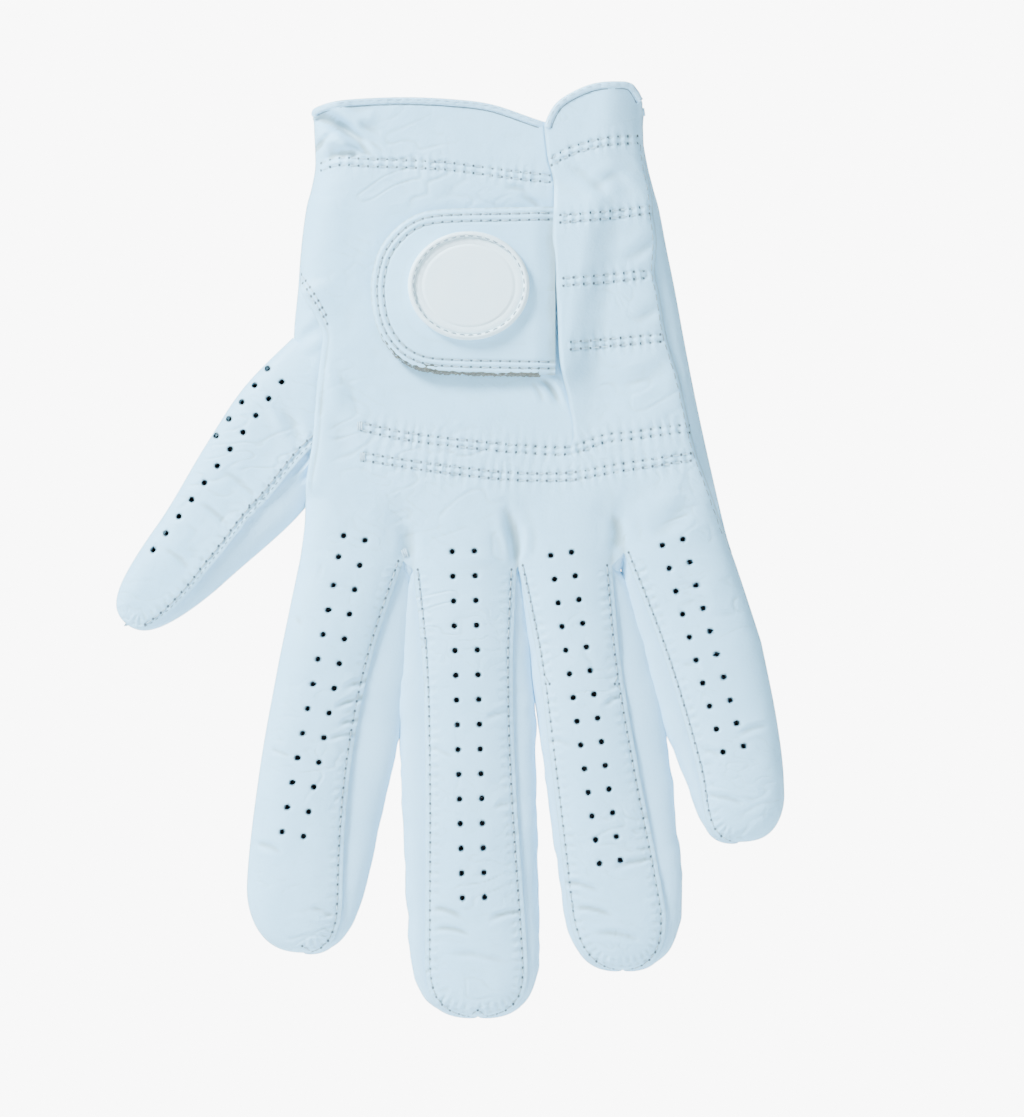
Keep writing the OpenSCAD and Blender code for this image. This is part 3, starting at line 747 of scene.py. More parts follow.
def apply_modifiers(obj):
    bpy.context.view_layer.update()
    graph = bpy.context.evaluated_depsgraph_get()
    mesh = bpy.data.meshes.new_from_object(obj.evaluated_get(graph))
    obj.modifiers.clear()
    obj.data = mesh
    return obj


# ---- Materials ----
class Shader:
    """A node material, with one short method for each kind of node."""

    def __init__(self, name, slot_name):
        self.mat = bpy.data.materials.new(name)
        self.mat.use_nodes = True
        self.mat["slot"] = slot_name
        self.nodes, self.links = self.mat.node_tree.nodes, self.mat.node_tree.links
        self.nodes.clear()
        self.out = self.nodes.new("ShaderNodeOutputMaterial")
        self.bsdf = self.nodes.new("ShaderNodeBsdfPrincipled")
        self.links.new(self.bsdf.outputs["BSDF"], self.out.inputs["Surface"])
        self.coord = self.nodes.new("ShaderNodeTexCoord").outputs["Object"]

    def put(self, value, socket):
        """Gives a socket a number or a colour, or links another node's output to it."""
        if isinstance(value, (int, float)):
            socket.default_value = value
        elif isinstance(value, tuple):
            socket.default_value = (*value, 1)
        else:
            self.links.new(value, socket)

    def node(self, kind, inputs):
        node = self.nodes.new("ShaderNode" + kind)
        for name, value in inputs.items():
            self.put(value, node.inputs[name])
        return node

    def noise(self, per_mm, detail=3.0, roughness=0.5):
        inputs = {"Scale": per_mm / MM, "Detail": detail, "Roughness": roughness, "Vector": self.coord}
        return self.node("TexNoise", inputs).outputs["Fac"]

    def pores(self, size_mm):
        inputs = {"Scale": 1 / size_mm / MM, "Vector": self.coord}
        return self.node("TexVoronoi", inputs).outputs["Distance"]

    def ramp(self, value, start, low, end, high):
        """The colour low where the value is at start or less, and high where it is at end or more."""
        node = self.node("ValToRGB", {"Fac": value})
        for element, at, colour in zip(node.color_ramp.elements, (start, end), (low, high)):
            element.position = at
            element.color = (*colour, 1)
        return node.outputs["Color"]

    def mix(self, share, a, b, mode="MIX"):
        node = self.nodes.new("ShaderNodeMix")
        node.data_type = "RGBA"
        node.blend_type = mode
        for value, socket in ((share, 0), (a, 6), (b, 7)):
            self.put(value, node.inputs[socket])
        return node.outputs[2]

    def math(self, operation, a, b):
        node = self.node("Math", {0: a, 1: b})
        node.operation = operation
        return node.outputs[0]

    def attribute(self, name):
        node = self.nodes.new("ShaderNodeAttribute")
        node.attribute_name = name
        return node.outputs["Fac"]

    def bump(self, height, strength, depth_mm):
        node = self.node("Bump", {"Strength": strength, "Distance": depth_mm * MM, "Height": height})
        self.links.new(node.outputs["Normal"], self.bsdf.inputs["Normal"])

    def surface(self, inputs):
        """Sets or links the surface's inputs and hands over the finished material."""
        for name, value in inputs.items():
            self.put(value, self.bsdf.inputs[name])
        return self.mat


# Painted shade laid in the leather's hollows and creases.
PAINTED_CREASE_SHADE = (0.30, 0.38, 0.39)
# Painted shade on the floor of each air hole.
PAINTED_HOLE_SHADE = (0.012, 0.014, 0.018)


def leather(name, slot_name, pale, deep, grain_mm=0.75, roughness=0.5, shine=0.35):
    shader = Shader(name, slot_name)
    colour = shader.ramp(shader.noise(0.035, 4, 0.55), 0.35, deep, 0.65, pale)
    pore = shader.pores(grain_mm)
    fine = shader.noise(2.4, 4, 0.6)
    speck = shader.ramp(pore, 0.0, (0.93, 0.94, 0.95), 0.45, (1, 1, 1))
    colour = shader.mix(0.5, colour, speck, "MULTIPLY")
    # Painted shade: the hollows of the relief are painted greenish grey.
    crease_shade_share = shader.math("MULTIPLY", shader.attribute("painted_crease_shade"), 0.75)
    colour = shader.mix(crease_shade_share, colour, PAINTED_CREASE_SHADE)
    # Painted shade: the air holes are painted near black.
    colour = shader.mix(shader.attribute("dark"), colour, PAINTED_HOLE_SHADE)
    shader.bump(shader.math("ADD", pore, shader.math("MULTIPLY", fine, 0.8)), 0.35, 0.10)
    rough = shader.math("ADD", shader.math("MULTIPLY", fine, 0.15), roughness - 0.07)
    return shader.surface({"Base Color": colour, "Roughness": rough, "Specular IOR Level": shine,
                           "Sheen Weight": 0.08, "Sheen Roughness": 0.5})


def thread_material():
    shader = Shader("thread", "thread")
    twist = shader.noise(3.5, 2, 0.5)
    colour = shader.ramp(twist, 0.3, (0.42, 0.58, 0.69), 0.7, (0.56, 0.74, 0.86))
    # Painted shade: the dark attribute paints needle holes, darkened threads and shadow strips near black.
    colour = shader.mix(shader.attribute("dark"), colour, (0.05, 0.06, 0.075))
    shader.bump(twist, 0.4, 0.05)
    return shader.surface({"Base Color": colour, "Roughness": 0.6})


def felt_material(name, low, high):
    shader = Shader(name, "felt")
    fuzz = shader.noise(1.6, 6, 0.7)
    shader.bump(fuzz, 0.9, 0.4)
    colour = shader.ramp(fuzz, 0.3, low, 0.7, high)
    return shader.surface({"Base Color": colour, "Roughness": 0.95, "Sheen Weight": 0.3})


def elastic_material():
    shader = Shader("elastic", "elastic")
    wave = shader.node("TexWave", {"Scale": 0.5 / MM, "Distortion": 1.5, "Vector": shader.coord})
    wave.bands_direction = "Z"
    colour = shader.ramp(wave.outputs["Fac"], 0.2, (0.55, 0.57, 0.6), 0.8, (0.8, 0.82, 0.84))
    shader.bump(wave.outputs["Fac"], 0.6, 0.15)
    return shader.surface({"Base Color": colour, "Roughness": 0.8})


def rubber_material():
    shader = Shader("badge_rubber", "badge")
    colour = shader.ramp(shader.noise(0.15, 3, 0.5), 0.3, (0.80, 0.93, 0.99), 0.7, (0.86, 0.96, 1.0))
    shader.bump(shader.noise(4.0, 2, 0.5), 0.2, 0.03)
    return shader.surface({"Base Color": colour, "Roughness": 0.42, "Specular IOR Level": 0.45})


LEATHER = leather("leather", "leather", (0.455, 0.775, 1.0), (0.41, 0.73, 0.955))
GUSSET = leather("gusset_leather", "gusset_leather", (0.455, 0.75, 0.97), (0.41, 0.705, 0.925),
                 grain_mm=0.7)
BINDING = leather("binding_leather", "binding", (0.46, 0.755, 0.975), (0.415, 0.71, 0.93),
                  grain_mm=0.6, roughness=0.45, shine=0.45)
THREAD = thread_material()
FELT = felt_material("hook_felt", (0.035, 0.035, 0.03), (0.17, 0.17, 0.14))
LOOP = felt_material("loop_felt", (0.16, 0.165, 0.15), (0.42, 0.43, 0.41))
ELASTIC = elastic_material()
RUBBER = rubber_material()


def finish_piece(obj, material, nodes, body=None, zone=None, solid=None, offset=-1.0):
    """Last steps for a piece: thickness, crisp edges, material, and the body that it follows; a piece given
    a zone follows no body and has its place fixed into its mesh.
    """
    if solid:
        thicken(obj, solid, offset)
        apply_modifiers(obj)
    obj.data.set_sharp_from_angle(angle=math.radians(48))
    obj.data.materials.clear()
    obj.data.materials.append(material)
    if zone:
        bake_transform(obj)
    else:
        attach(obj, body)
    if nodes:
        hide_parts(*nodes)
    return obj


# ---- Surface probe: where threads, bindings and strips lie on the leather ----
class Probe:
    """Finds the outer surface of some sheets, looking from the back of the hand or from the palm."""

    def __init__(self, objects, side=1):
        points, faces = [], []
        for obj in objects:
            base = len(points)
            points += [v.co.copy() for v in obj.data.vertices]
            faces += [[base + i for i in p.vertices] for p in obj.data.polygons]
        self.tree = BVHTree.FromPolygons(points, faces)
        self.side = side

    def at(self, x, z):
        start = Vector((x, -40 * self.side, z)) * MM
        spot, normal, _, _ = self.tree.ray_cast(start, Vector((0, self.side, 0)), 60 * MM)
        if spot is None:
            spot, normal, _, _ = self.tree.find_nearest(Vector((x, -7 * self.side, z)) * MM)
        normal = normal if normal.y * self.side < 0 else -normal
        return np.array(spot) / MM, np.array(normal)


# ---- Stitches ----
# Rings of one stitch: [share of its length, height above the leather, radius].
THREAD_RINGS = (
    (0.0, -0.25, 0.10), (0.12, 0.0, 0.17), (0.35, 0.09, 0.20), (0.65, 0.09, 0.20), (0.88, 0.0, 0.17),
    (1.0, -0.25, 0.10),
)
THREAD_SIDES = 7
NEEDLE_HOLE_R = 0.40
HOLE_SIDES = 8
# How far short of its needle holes a stitch ends, and the shortest run that gets a stitch.
THREAD_GAP = 0.3
SHORTEST_STITCH = 0.4


def ring_points(centre, tangent, normal, radius):
    """A ring of points round a thread."""
    side = unit(np.cross(tangent, normal))
    up = np.cross(side, tangent)
    return [
        centre + radius * (math.cos(a) * side + math.sin(a) * up)
        for a in np.linspace(0, 2 * math.pi, THREAD_SIDES, endpoint=False)
    ]


class Stitches:
    """Collects threads and needle holes, and makes them into one mesh."""

    def __init__(self):
        self.points, self.faces, self.dark = [], [], []

    def thread(self, a, b, normal_a, normal_b, size=1.0, gap=THREAD_GAP, shade=0.0):
        """One stitch from a to b; a higher shade paints it darker, as painted shade where it sinks into the
        leather.
        """
        run = b - a
        length = np.linalg.norm(run)
        if length < SHORTEST_STITCH:
            return
        tangent = run / length
        a, b = a + tangent * gap, b - tangent * gap
        base = len(self.points)
        for t, lift, radius in THREAD_RINGS:
            normal = normal_a * (1 - t) + normal_b * t
            centre = a * (1 - t) + b * t + normal * lift * size
            self.points += ring_points(centre, tangent, normal, radius * size)
        for r in range(len(THREAD_RINGS) - 1):
            for k in range(THREAD_SIDES):
                n = (k + 1) % THREAD_SIDES
                row, after = base + r * THREAD_SIDES, base + (r + 1) * THREAD_SIDES
                self.faces.append((row + k, row + n, after + n, after + k))
        self.dark += [shade] * (len(self.points) - base)

    def hole(self, probe, x, z, radius):
        """A dark disc laid just above the leather where the needle went through: painted shade of the
        needle hole.
        """
        base = len(self.points)
        spot, normal = probe.at(x, z)
        reference = np.array([1.0, 0, 0]) if abs(normal[0]) < 0.9 else np.array([0, 0, 1.0])
        side = unit(np.cross(normal, reference))
        up = np.cross(side, normal)
        self.points.append(spot + normal * 0.06)
        for a in np.linspace(0, 2 * math.pi, HOLE_SIDES, endpoint=False):
            outward = math.cos(a) * side + 0.85 * math.sin(a) * up
            self.points.append(spot + normal * 0.07 + radius * outward)
        for k in range(HOLE_SIDES):
            self.faces.append((base, base + 1 + k, base + 1 + (k + 1) % HOLE_SIDES))
        self.dark += [1.0] + [0.75] * HOLE_SIDES

    def run(self, path, probe, pitch=STITCH_PITCH, size=1.0, holes=True, keep=None, shade=0.0, thin=1.0):
        """One row of stitches along a 2-D path."""
        spots = resample(path, pitch)
        if keep is not None:
            spots = spots[[bool(keep(p)) for p in spots]]
        found = [probe.at(*p) for p in spots]
        for (a, na), (b, nb) in zip(found, found[1:]):
            if np.linalg.norm(b - a) < 1.8 * pitch:
                self.thread(a, b, na, nb, size * thin, shade=shade)
        if holes:
            for p in spots:
                self.hole(probe, p[0], p[1], NEEDLE_HOLE_R * size)

    def knot(self, probe, x, z, angle, length=2.4):
        """A short bar of three threads side by side, where a row is made fast."""
        run = np.array([math.cos(angle), math.sin(angle)])
        across_run = np.array([-run[1], run[0]])
        for k in (-0.45, 0.0, 0.45):
            mid = np.array([x, z]) + across_run * k
            a, na = probe.at(*(mid - run * length / 2))
            b, nb = probe.at(*(mid + run * length / 2))
            self.thread(a, b, na, nb, 1.15, gap=0.0)

    def make(self, name, nodes, body=None, zone=None):
        obj = new_mesh(name, np.array(self.points), self.faces, np.array(self.dark))
        return finish_piece(obj, THREAD, nodes, body, zone)


# ---- A rounded lip swept along an edge ----
def sweep(name, path, normals, half_width, half_thickness, sides=14):
    """A strip of rounded section along a path, with closed ends."""
    path, normals = np.asarray(path, float), np.asarray(normals, float)
    tangents = directions(path)
    points, faces = [], []
    for i in range(len(path)):
        b = unit(np.cross(tangents[i], normals[i]))
        n = np.cross(b, tangents[i])
        for a in np.linspace(0, 2 * math.pi, sides, endpoint=False):
            c, s = math.cos(a), math.sin(a)
            wide = half_width * math.copysign(abs(c) ** 0.75, c)
            thick = half_thickness * math.copysign(abs(s) ** 0.75, s)
            points.append(path[i] + b * wide + n * thick)
    for i in range(len(path) - 1):
        for k in range(sides):
            n = (k + 1) % sides
            faces.append((i * sides + k, i * sides + n, (i + 1) * sides + n, (i + 1) * sides + k))
    faces.append(tuple(range(sides)))
    faces.append(tuple((len(path) - 1) * sides + k for k in reversed(range(sides))))
    return new_mesh(name, np.array(points), faces)


# ---- Back of the hand ----
GRID_STEP = 0.30


def bunched(n, roll_share):
    """Shares from 0 to 1, closer together near 0, where the leather rolls over."""
    start = roll_share * np.linspace(0, 1, 14, endpoint=False) ** 2
    return np.r_[start, np.linspace(roll_share, 1, n)]


def fill_between(left, right, top, bottom, across_shares, down_shares):
    """A grid of x and z between two side curves and a top and bottom curve, found in a few rounds because
    the side curves depend on z and the others on x."""
    s, t = np.meshgrid(across_shares, down_shares)
    z = -2 - 100 * t
    x = s * 0
    for _ in range(6):
        x = left(z) * (1 - s) + right(z) * s
        z = top(x) * (1 - t) + bottom(x) * t
    return x, z


def main_right(z):
    """The back's right edge: under the flap it runs a little past the vent's edge."""
    foot = FOLD_FOOT[1]
    return np.where(z < foot, SPLIT_X, SPLIT_X + 1.4 * smooth((z - foot) / 2.5))


def flap_left(z):
    return np.where(z < VENT_FOOT_Z, SPLIT_X, vent_edge(z))


def under_binding(edge):
    """The leather's own edge, a little inside the edge of the binding."""
    return lambda x: edge(x) - 0.5


def main_height(x, z):
    """Height of the back leather with its relief."""
    h = hand_height(x, z) + hand_relief(x, z) + row_relief(x, z, CUFF_ROW, 5.5, 0.4, 11)
    # The leather sinks a little where the flap and the closure lie on it.
    under = smooth((x - vent_edge(z) + 0.5) / 2.5) * smooth((z + 84) / 4)
    h -= 1.3 * under + 1.2 * under * smooth((z + 22) / 8)
    edge = np.minimum(np.abs(x - back_left(z)), 9)
    free = edge_height_left(z) / EDGE_ROLL
    h -= 0.30 * free * bell(edge - 1.4, 0.5)
    return h


def flap_height(x, z):
    """Height of the vent flap with its relief and the lift over what it laps."""
    h = hand_height(x, z) + hand_relief(x, z)
    for i, row in enumerate(FLAP_ROWS):
        h += row_relief(x, z, row, 5.0, 0.5, 21 + i)
    edge = x - vent_edge(z)
    h += flap_lift(x, z)
    h -= 0.35 * bell(edge, 0.5) * smooth((z + 83) / 3)
    seam = pinky_seam(z) - x
    h -= 0.25 * bell(seam, 0.6)
    return h


def punched_back(name, x, z, h, fingers):
    """A sheet of the back with the air holes that lie above the finger roots."""
    dark = np.zeros(x.shape)
    for finger in fingers:
        centres = hole_centres(finger)
        punch(x, z, h, dark, centres[centres[:, 1] > ROOT_Z[finger]], GRID_STEP)
    smooth_h = h.copy()
    obj = grid_object(name, x, -h, z, dark, flip=True)
    mark_painted_shade(obj, np.where(dark > 0, blurred(smooth_h, 4), smooth_h))
    return obj


def build_back():
    shares = bunched(int(62 / GRID_STEP), 0.09)
    down = np.linspace(0, 1, int(106 / GRID_STEP))
    x, z = fill_between(back_left, main_right, under_binding(cuff_main), root_z, shares, down)
    main = punched_back("hand_back_leather", x, z, main_height(x, z), FINGERS[:3])

    shares = np.linspace(0, 1, int(26 / GRID_STEP) + 8)
    down = np.linspace(0, 1, int(112 / GRID_STEP))
    x, z = fill_between(flap_left, pinky_seam, under_binding(cuff_flap), root_z, shares, down)
    flap = punched_back("vent_flap_leather", x, z, flap_height(x, z), FINGERS[3:])
    return main, flap


FLAP_ZONE = 4.0
FOLD_Y = -7.8


def flap_zone():
    """The bodies on either side of the flap's fold line, and the start and end of a strip across that line
    at its foot.
    """
    run = unit(np.array(FOLD_HEAD) - np.array(FOLD_FOOT))
    right = np.array([run[1], -run[0]])
    foot = np.array(FOLD_FOOT)
    start, end = foot + right * FLAP_ZONE, foot - right * FLAP_ZONE
    return (HAND, "vent_flap", (start[0], FOLD_Y, start[1]), (end[0], FOLD_Y, end[1]))


# ---- Palm ----
PALM_CREASES = [
    (-38, -84, -14, -88, 2.0, 0.45), (-14, -90, 20, -83, 2.0, 0.40), (20, -90, 48, -78, 2.0, 0.45),
    (-34, -92, -22, -100, 1.5, 0.25), (-12, -96, 8, -94, 1.6, 0.3), (14, -97, 32, -92, 1.5, 0.3),
    (-30, -60, -14, -74, 2.2, 0.35), (-26, -52, -6, -70, 1.8, 0.25), (30, -60, 46, -66, 1.8, 0.25),
    (-36, -14, -24, -26, 1.8, 0.35), (28, -12, 37, -24, 1.8, 0.35), (-6, -12, 10, -20, 1.8, 0.2),
]


PALM_STEP = 0.6
PALM_ROLL = 10


def palm_height(x, z):
    """Height of the palm leather above the middle plane, towards the palm side."""
    left, right = silhouette_left(z), silhouette_right(z)
    low_left = palm_edge_left(z)
    h = HAND_T - (HAND_T - low_left) * (1 - crown((x - left) / PALM_ROLL))
    h = h - HAND_T * (1 - crown((right - x) / PALM_ROLL))
    share = smooth((ROOT_BLEND_Z - z) / (ROOT_BLEND_Z - root_z(x)))
    h = h * (1 - share) + soft_root_height(x, share, left, right) * share
    relief = crease_relief(x, z, PALM_CREASES) + lumps(x, z, ((0.55, 18, 31), (0.20, 6, 32)))
    relief += wrinkle_relief(x, z, 3.6, 0.15, 221, 35) + wrinkle_relief(x, z, 1.9, 0.08, 231, -25)
    return h + relief * smooth((z - root_z(x)) / 3) * smooth((x - left) / 4) * smooth((right - x) / 4)


def palm_sheet():
    half = bunched(int(50 / PALM_STEP), 0.08)
    shares = np.unique(np.r_[half * 0.5, 1 - half * 0.5])
    down = np.linspace(0, 1, int(106 / PALM_STEP))
    x, z = fill_between(silhouette_left, silhouette_right, under_binding(cuff_palm), root_z, shares, down)
    h = palm_height(x, z)
    palm = grid_object("palm_leather", x, h, z)
    mark_painted_shade(palm, h)
    return palm


def quarter_round(name, start, reach, height, a, z, folds, flip=False):
    """A sheet that turns from the back, at x = start, through a right angle to the side of the hand."""
    return grid_object(name, start + reach * np.sin(a), folds - height * np.cos(a), z, flip=flip)


def pinky_wrap():
    """The palm leather wraps round the little finger's side to the seam on the back."""
    angle = np.radians(np.linspace(0, 90, 16))
    a, zz = np.meshgrid(angle, np.linspace(0.5, -104, 170))
    start = pinky_seam(zz) - 0.5
    height = np.maximum(hand_height(pinky_seam(zz), zz) - 0.75, 0.1)
    uneven = 0.16 * smooth((-10 - zz) / 10) * soft_noise(zz, a * 4, 5, 41) * np.sin(2 * a)
    reach = silhouette_right(zz) - start
    return quarter_round("pinky_side_leather", start, reach, height, a, zz, uneven, flip=True)


def thumb_cheek():
    """Under the left edge of the back, the palm leather comes round to meet the thumb."""
    a, zz = np.meshgrid(np.radians(np.linspace(0, 90, 22)), np.linspace(-36, -66, 90))
    start = back_left(zz) + 3.5 * smooth((-38 - zz) / 3)
    reach = silhouette_left(zz) - start
    height = np.maximum(edge_height_left(zz) - 0.9, 0.1) * smooth((-36 - zz) / 6) + 0.2
    fan = 0.8 * soft_noise(zz + 5 * a, 3 * a, 2.6, 43) + 0.25 * np.sin(0.9 * zz + 2.6 * a)
    folds = 0.45 * fan * smooth((-44 - zz) / 5) * smooth((zz + 66) / 6) * np.sin(2 * a)
    return quarter_round("thumb_base_leather", start, reach, height, a, zz, -folds)


def thumb_quirk():
    """A gusset closes the gap between the back's edge and the palm's edge below the thumb."""
    t, zz = np.meshgrid(np.linspace(0, 1, 12), np.linspace(-82, -99, 50))
    inset = 0.7
    x = back_left(zz) * (1 - t) + silhouette_left(zz) * t + inset - 0.5 * np.sin(np.pi * t)
    y = palm_height(silhouette_left(zz), zz) * t - hand_height(back_left(zz), zz) * (1 - t)
    return grid_object("thumb_quirk_leather", x, y, zz)


# ---- Leather of the digits ----
def split_row(name, u):
    """Number of the row at which a digit's leather is split."""
    return int(np.argmin(np.abs(u[: int(len(u) * 0.8)] - SPLIT_AT[name])))


THUMB_SEAM_S = ((0, 0.5), (1.5, 0.44), (2.3, 0.42), (3.0, 0.56), (3.7, 0.8), (4.0, 0.97))


def thumb_seam_s(u):
    """Where the lengthwise seam runs across the thumb, from -1 to 1."""
    pts = np.array(THUMB_SEAM_S)
    return np.interp(u, pts[:, 0], pts[:, 1])


def seam_relief(x, z, path, seed):
    """Beside a seam the leather dips along the stitches and its cut edge turns up a little."""
    d, run, _ = nearest_on_path(x, z, path, 4.5)
    wave = np.cos(2 * np.pi * run / STITCH_PITCH)
    size = 0.7 + 0.3 * soft_noise(run, run * 0 + seed, 7, seed)
    relief = -0.30 * bell(d - 1.15, 0.4) * (0.6 - 0.4 * wave)
    relief += 0.16 * bell(d - 2.4, 0.9) * wave * size
    return relief


def digit_relief(name, x, z, seed):
    """Creases, unevenness and fine wrinkles of a digit's back."""
    relief = crease_relief(x, z, DIGIT_CREASES[name])
    relief += lumps(x, z, ((0.22, 11, seed), (0.11, 4.5, seed + 1), (0.04, 1.8, seed + 2)))
    relief += wrinkle_relief(x, z, 2.6, 0.15, seed + 300, 10)
    return relief + wrinkle_relief(x, z, 1.5, 0.07, seed + 310, -20)


def digit_back(name, step=0.26):
    columns = even_columns(name, step)
    if name == "thumb":
        columns = columns[columns <= 0.999]
    u1, end1, s, u, end = station_grid(name, step, columns)
    if name == "thumb":
        # The upper leather stops at the lengthwise seam.
        limit = thumb_seam_s(u)
        s = -1 + (s + 1) / 2.0 * (1 + limit)
    x, z, h = digit_points(name, u, end, s)
    seed = 50 + 7 * DIGIT_NAMES.index(name)
    fade = smooth(u / 0.12) if name != "thumb" else smooth((u + 0.5) / 0.5)
    relief = digit_relief(name, x, z, seed)
    for side in (LEFT, RIGHT):
        if not folded(name, side):
            relief += seam_relief(x, z, seam_path(name, side, u1, end1), seed + side)
    if name == "thumb":
        relief += seam_relief(x, z, np.stack([x[:, -1], z[:, -1]], 1), seed)
        h = h + 0.35 * smooth((s - limit + 0.5) / 0.4)
    edge_fade = np.ones(x.shape)
    if folded(name, LEFT):
        edge_fade *= smooth((s + 1) / 0.25)
    if folded(name, RIGHT) and name != "thumb":
        edge_fade *= smooth((1 - s) / 0.25)
    h = h + relief * fade * edge_fade * np.clip(end * 1.6, 0.15, 1)
    dark = np.zeros(x.shape)
    x, z, h = x.copy(), z.copy(), h.copy()
    punch(x, z, h, dark, hole_centres(name), step)
    return u1, x, mid_y(name) - h, z, dark


def digit_palm(name, step=0.7):
    u1, _, s, u, end = station_grid(name, step, even_columns(name, step))
    x, z, h = digit_points(name, u, end, s)
    fade = smooth(u / 0.12) * smooth((1 - np.abs(s)) / 0.3) * np.clip(end * 1.6, 0.1, 1)
    h = h + lumps(x, z, ((0.3, 9, 91), (0.12, 3.5, 92))) * fade
    return u1, x, mid_y(name) + h, z


def thumb_lower(step=0.45):
    """The thumb's lower leather: from under the seam of the upper one round the lower silhouette."""
    u1, _, k, u, end = station_grid("thumb", step, np.sin(np.linspace(0, 1, 26) * np.pi / 2))
    low = np.clip(thumb_seam_s(u) - 0.14, 0, 0.93)
    s = low + (1 - low) * k
    x, z, h = digit_points("thumb", u, end, s)
    away_from_tip = np.clip(end * 1.5, 0, 1)
    h = h - (0.75 * (1 - k) + 0.10) * away_from_tip
    uneven = lumps(x, z, ((0.22, 5, 64), (0.10, 2, 65)))
    h += uneven * np.sin(np.pi * k) * away_from_tip
    pleats = smooth((1.55 - u) / 0.25) * smooth((u - 1.0) / 0.2)
    h += 0.5 * pleats * np.sin(2 * np.pi * (x - z) / 4.2) * np.sin(np.pi * k) * end
    return u1, x, THUMB_MID_Y - h, z


def gusset_grid(name, side, step=0.45):
    """The side strip of a finger, from under its back leather round to its palm leather."""
    u1, end1 = digit_rows(name, step)
    path = seam_path(name, side, u1, end1)
    run = directions(path)
    normal = np.stack([-run[:, 1], run[:, 0]], 1)
    if np.sum(normal @ (across(name) * side)) < 0:
        normal = -normal
    out = out_at(name, side, u1) * np.maximum(end1, 0) ** 0.35
    tau = np.linspace(0, 1, 23)
    edge_t = thickness(name, u1, end1) * SEAM_T / FINGER_T - 0.75
    t, out_grid = np.meshgrid(tau, out)
    edge_grid = np.broadcast_to(np.maximum(edge_t, 0.05)[:, None], t.shape)
    bulge = np.sin(np.pi * t) ** 0.75
    tuck = -0.6 + 0.6 * np.sin(np.pi * t)
    x = path[:, 0][:, None] + normal[:, 0][:, None] * (out_grid * bulge + tuck)
    z = path[:, 1][:, None] + normal[:, 1][:, None] * (out_grid * bulge + tuck)
    y = -edge_grid * np.cos(np.pi * t)
    length = lengths_along(path)[:, None]
    seed = 120 + 11 * FINGERS.index(name) + side
    wrinkle = 0.30 * soft_noise(length + t * 3, t * 6, 5.5, seed)
    wrinkle = wrinkle + 0.14 * soft_noise(length, t * 9, 2.4, seed + 1)
    wrinkle = wrinkle * np.sin(np.pi * t) * smooth(u1[:, None] / 0.15) * np.clip(end1[:, None], 0.2, 1)
    return u1, x + normal[:, 0][:, None] * wrinkle, y - 0.6 * wrinkle, z


# How far to each side of a joint its strip reaches; at a finger's root it reaches as far as the hand's
# edge.
THUMB_BEND_REACH = {"root": 6.5, "middle": 7.0}
FINGER_BEND_REACH = 9.0


def joint_zone(name, which):
    """Bodies of a digit's joint and the start and end of a strip that reaches to each side of it."""
    joint = next(j for j in frame["joints"] if j["name"] == f"{name}_{which}_bend")
    at = np.array(joint["pos_m"]) / MM
    axis = np.array(joint["axis"])
    along_digit = unit(np.cross(axis, [0, 1, 0]))
    (x1, z1, _), (x2, z2, _) = DIGITS[name][1:3]
    if along_digit @ np.array([x2 - x1, 0, z2 - z1]) < 0:
        along_digit = -along_digit
    if name == "thumb":
        reach = THUMB_BEND_REACH[which]
    else:
        reach = abs(ROOT_Z[name] - at[2]) if which == "root" else FINGER_BEND_REACH
    return joint["parent"], joint["child"], at - along_digit * reach, at + along_digit * reach


def cut_rows(strip, name, part):
    """The rows of a strip before or after the digit's split; the thumb's last row is a single point."""
    stations, *grids = strip
    k = split_row(name, stations)
    last = -1 if name == "thumb" else None
    rows = slice(0, k + 1) if part == "root" else slice(k, last)
    return [grid[rows] for grid in grids]


def digit_sides(name):
    """What closes a digit between its back and its palm leather: word, strip and flip of each piece."""
    if name == "thumb":
        return [("lower_leather", thumb_lower(), True)]
    words = {LEFT: "left_gusset", RIGHT: "right_gusset"}
    seamed = [side for side in (LEFT, RIGHT) if not folded(name, side)]
    return [(words[side], gusset_grid(name, side), side == RIGHT) for side in seamed]


def build_digit(name):
    """The leather pieces of each part; every strip is cut at the same station, so that the parts meet."""
    back_strip, palm_strip, side_strips = digit_back(name), digit_palm(name), digit_sides(name)
    pieces = {}
    for part, joint in (("root", "root"), ("tip", "middle")):
        x, y, z, dark = cut_rows(back_strip, name, part)
        back = grid_object(f"{name}_{part}_back_leather", x, y, z, dark, flip=True)
        mark_painted_shade(back, np.where(dark > 0, blurred(-y, 4), -y))
        x, y, z = cut_rows(palm_strip, name, part)
        palm = grid_object(f"{name}_{part}_palm_leather", x, y, z)
        mark_painted_shade(palm, y)
        sides = [
            grid_object(f"{name}_{part}_{word}", *cut_rows(strip, name, part), flip=flip)
            for word, strip, flip in side_strips
        ]
        pieces[part] = (back, palm, sides, joint_zone(name, joint))
    return pieces


def build_crotches():
    """Strips of leather that close the glove between one finger and the next."""
    made = []
    pairs = (("index", "middle"), ("middle", "ring"), ("ring", "little"))
    for first, second in pairs:
        left = np.array([ROOT_SPANS[first][1], ROOT_Z[first]])
        right = np.array([ROOT_SPANS[second][0], ROOT_Z[second]])
        s, t = np.meshgrid(np.linspace(-0.35, 1.35, 14), np.linspace(0, 1, 21))
        x = left[0] + (right[0] - left[0]) * s
        z = left[1] + (right[1] - left[1]) * np.clip(s, 0, 1)
        z = z - 4.6 * np.sin(np.pi * t) * (0.55 + 0.45 * np.sin(np.pi * np.clip(s, 0, 1))) + 0.5
        y = -(SEAM_T - 0.7) * np.cos(np.pi * t)
        node = f"{first}_{second}_crotch"
        made.append((grid_object(node + "_leather", x, y, z, flip=True), node))
    return made


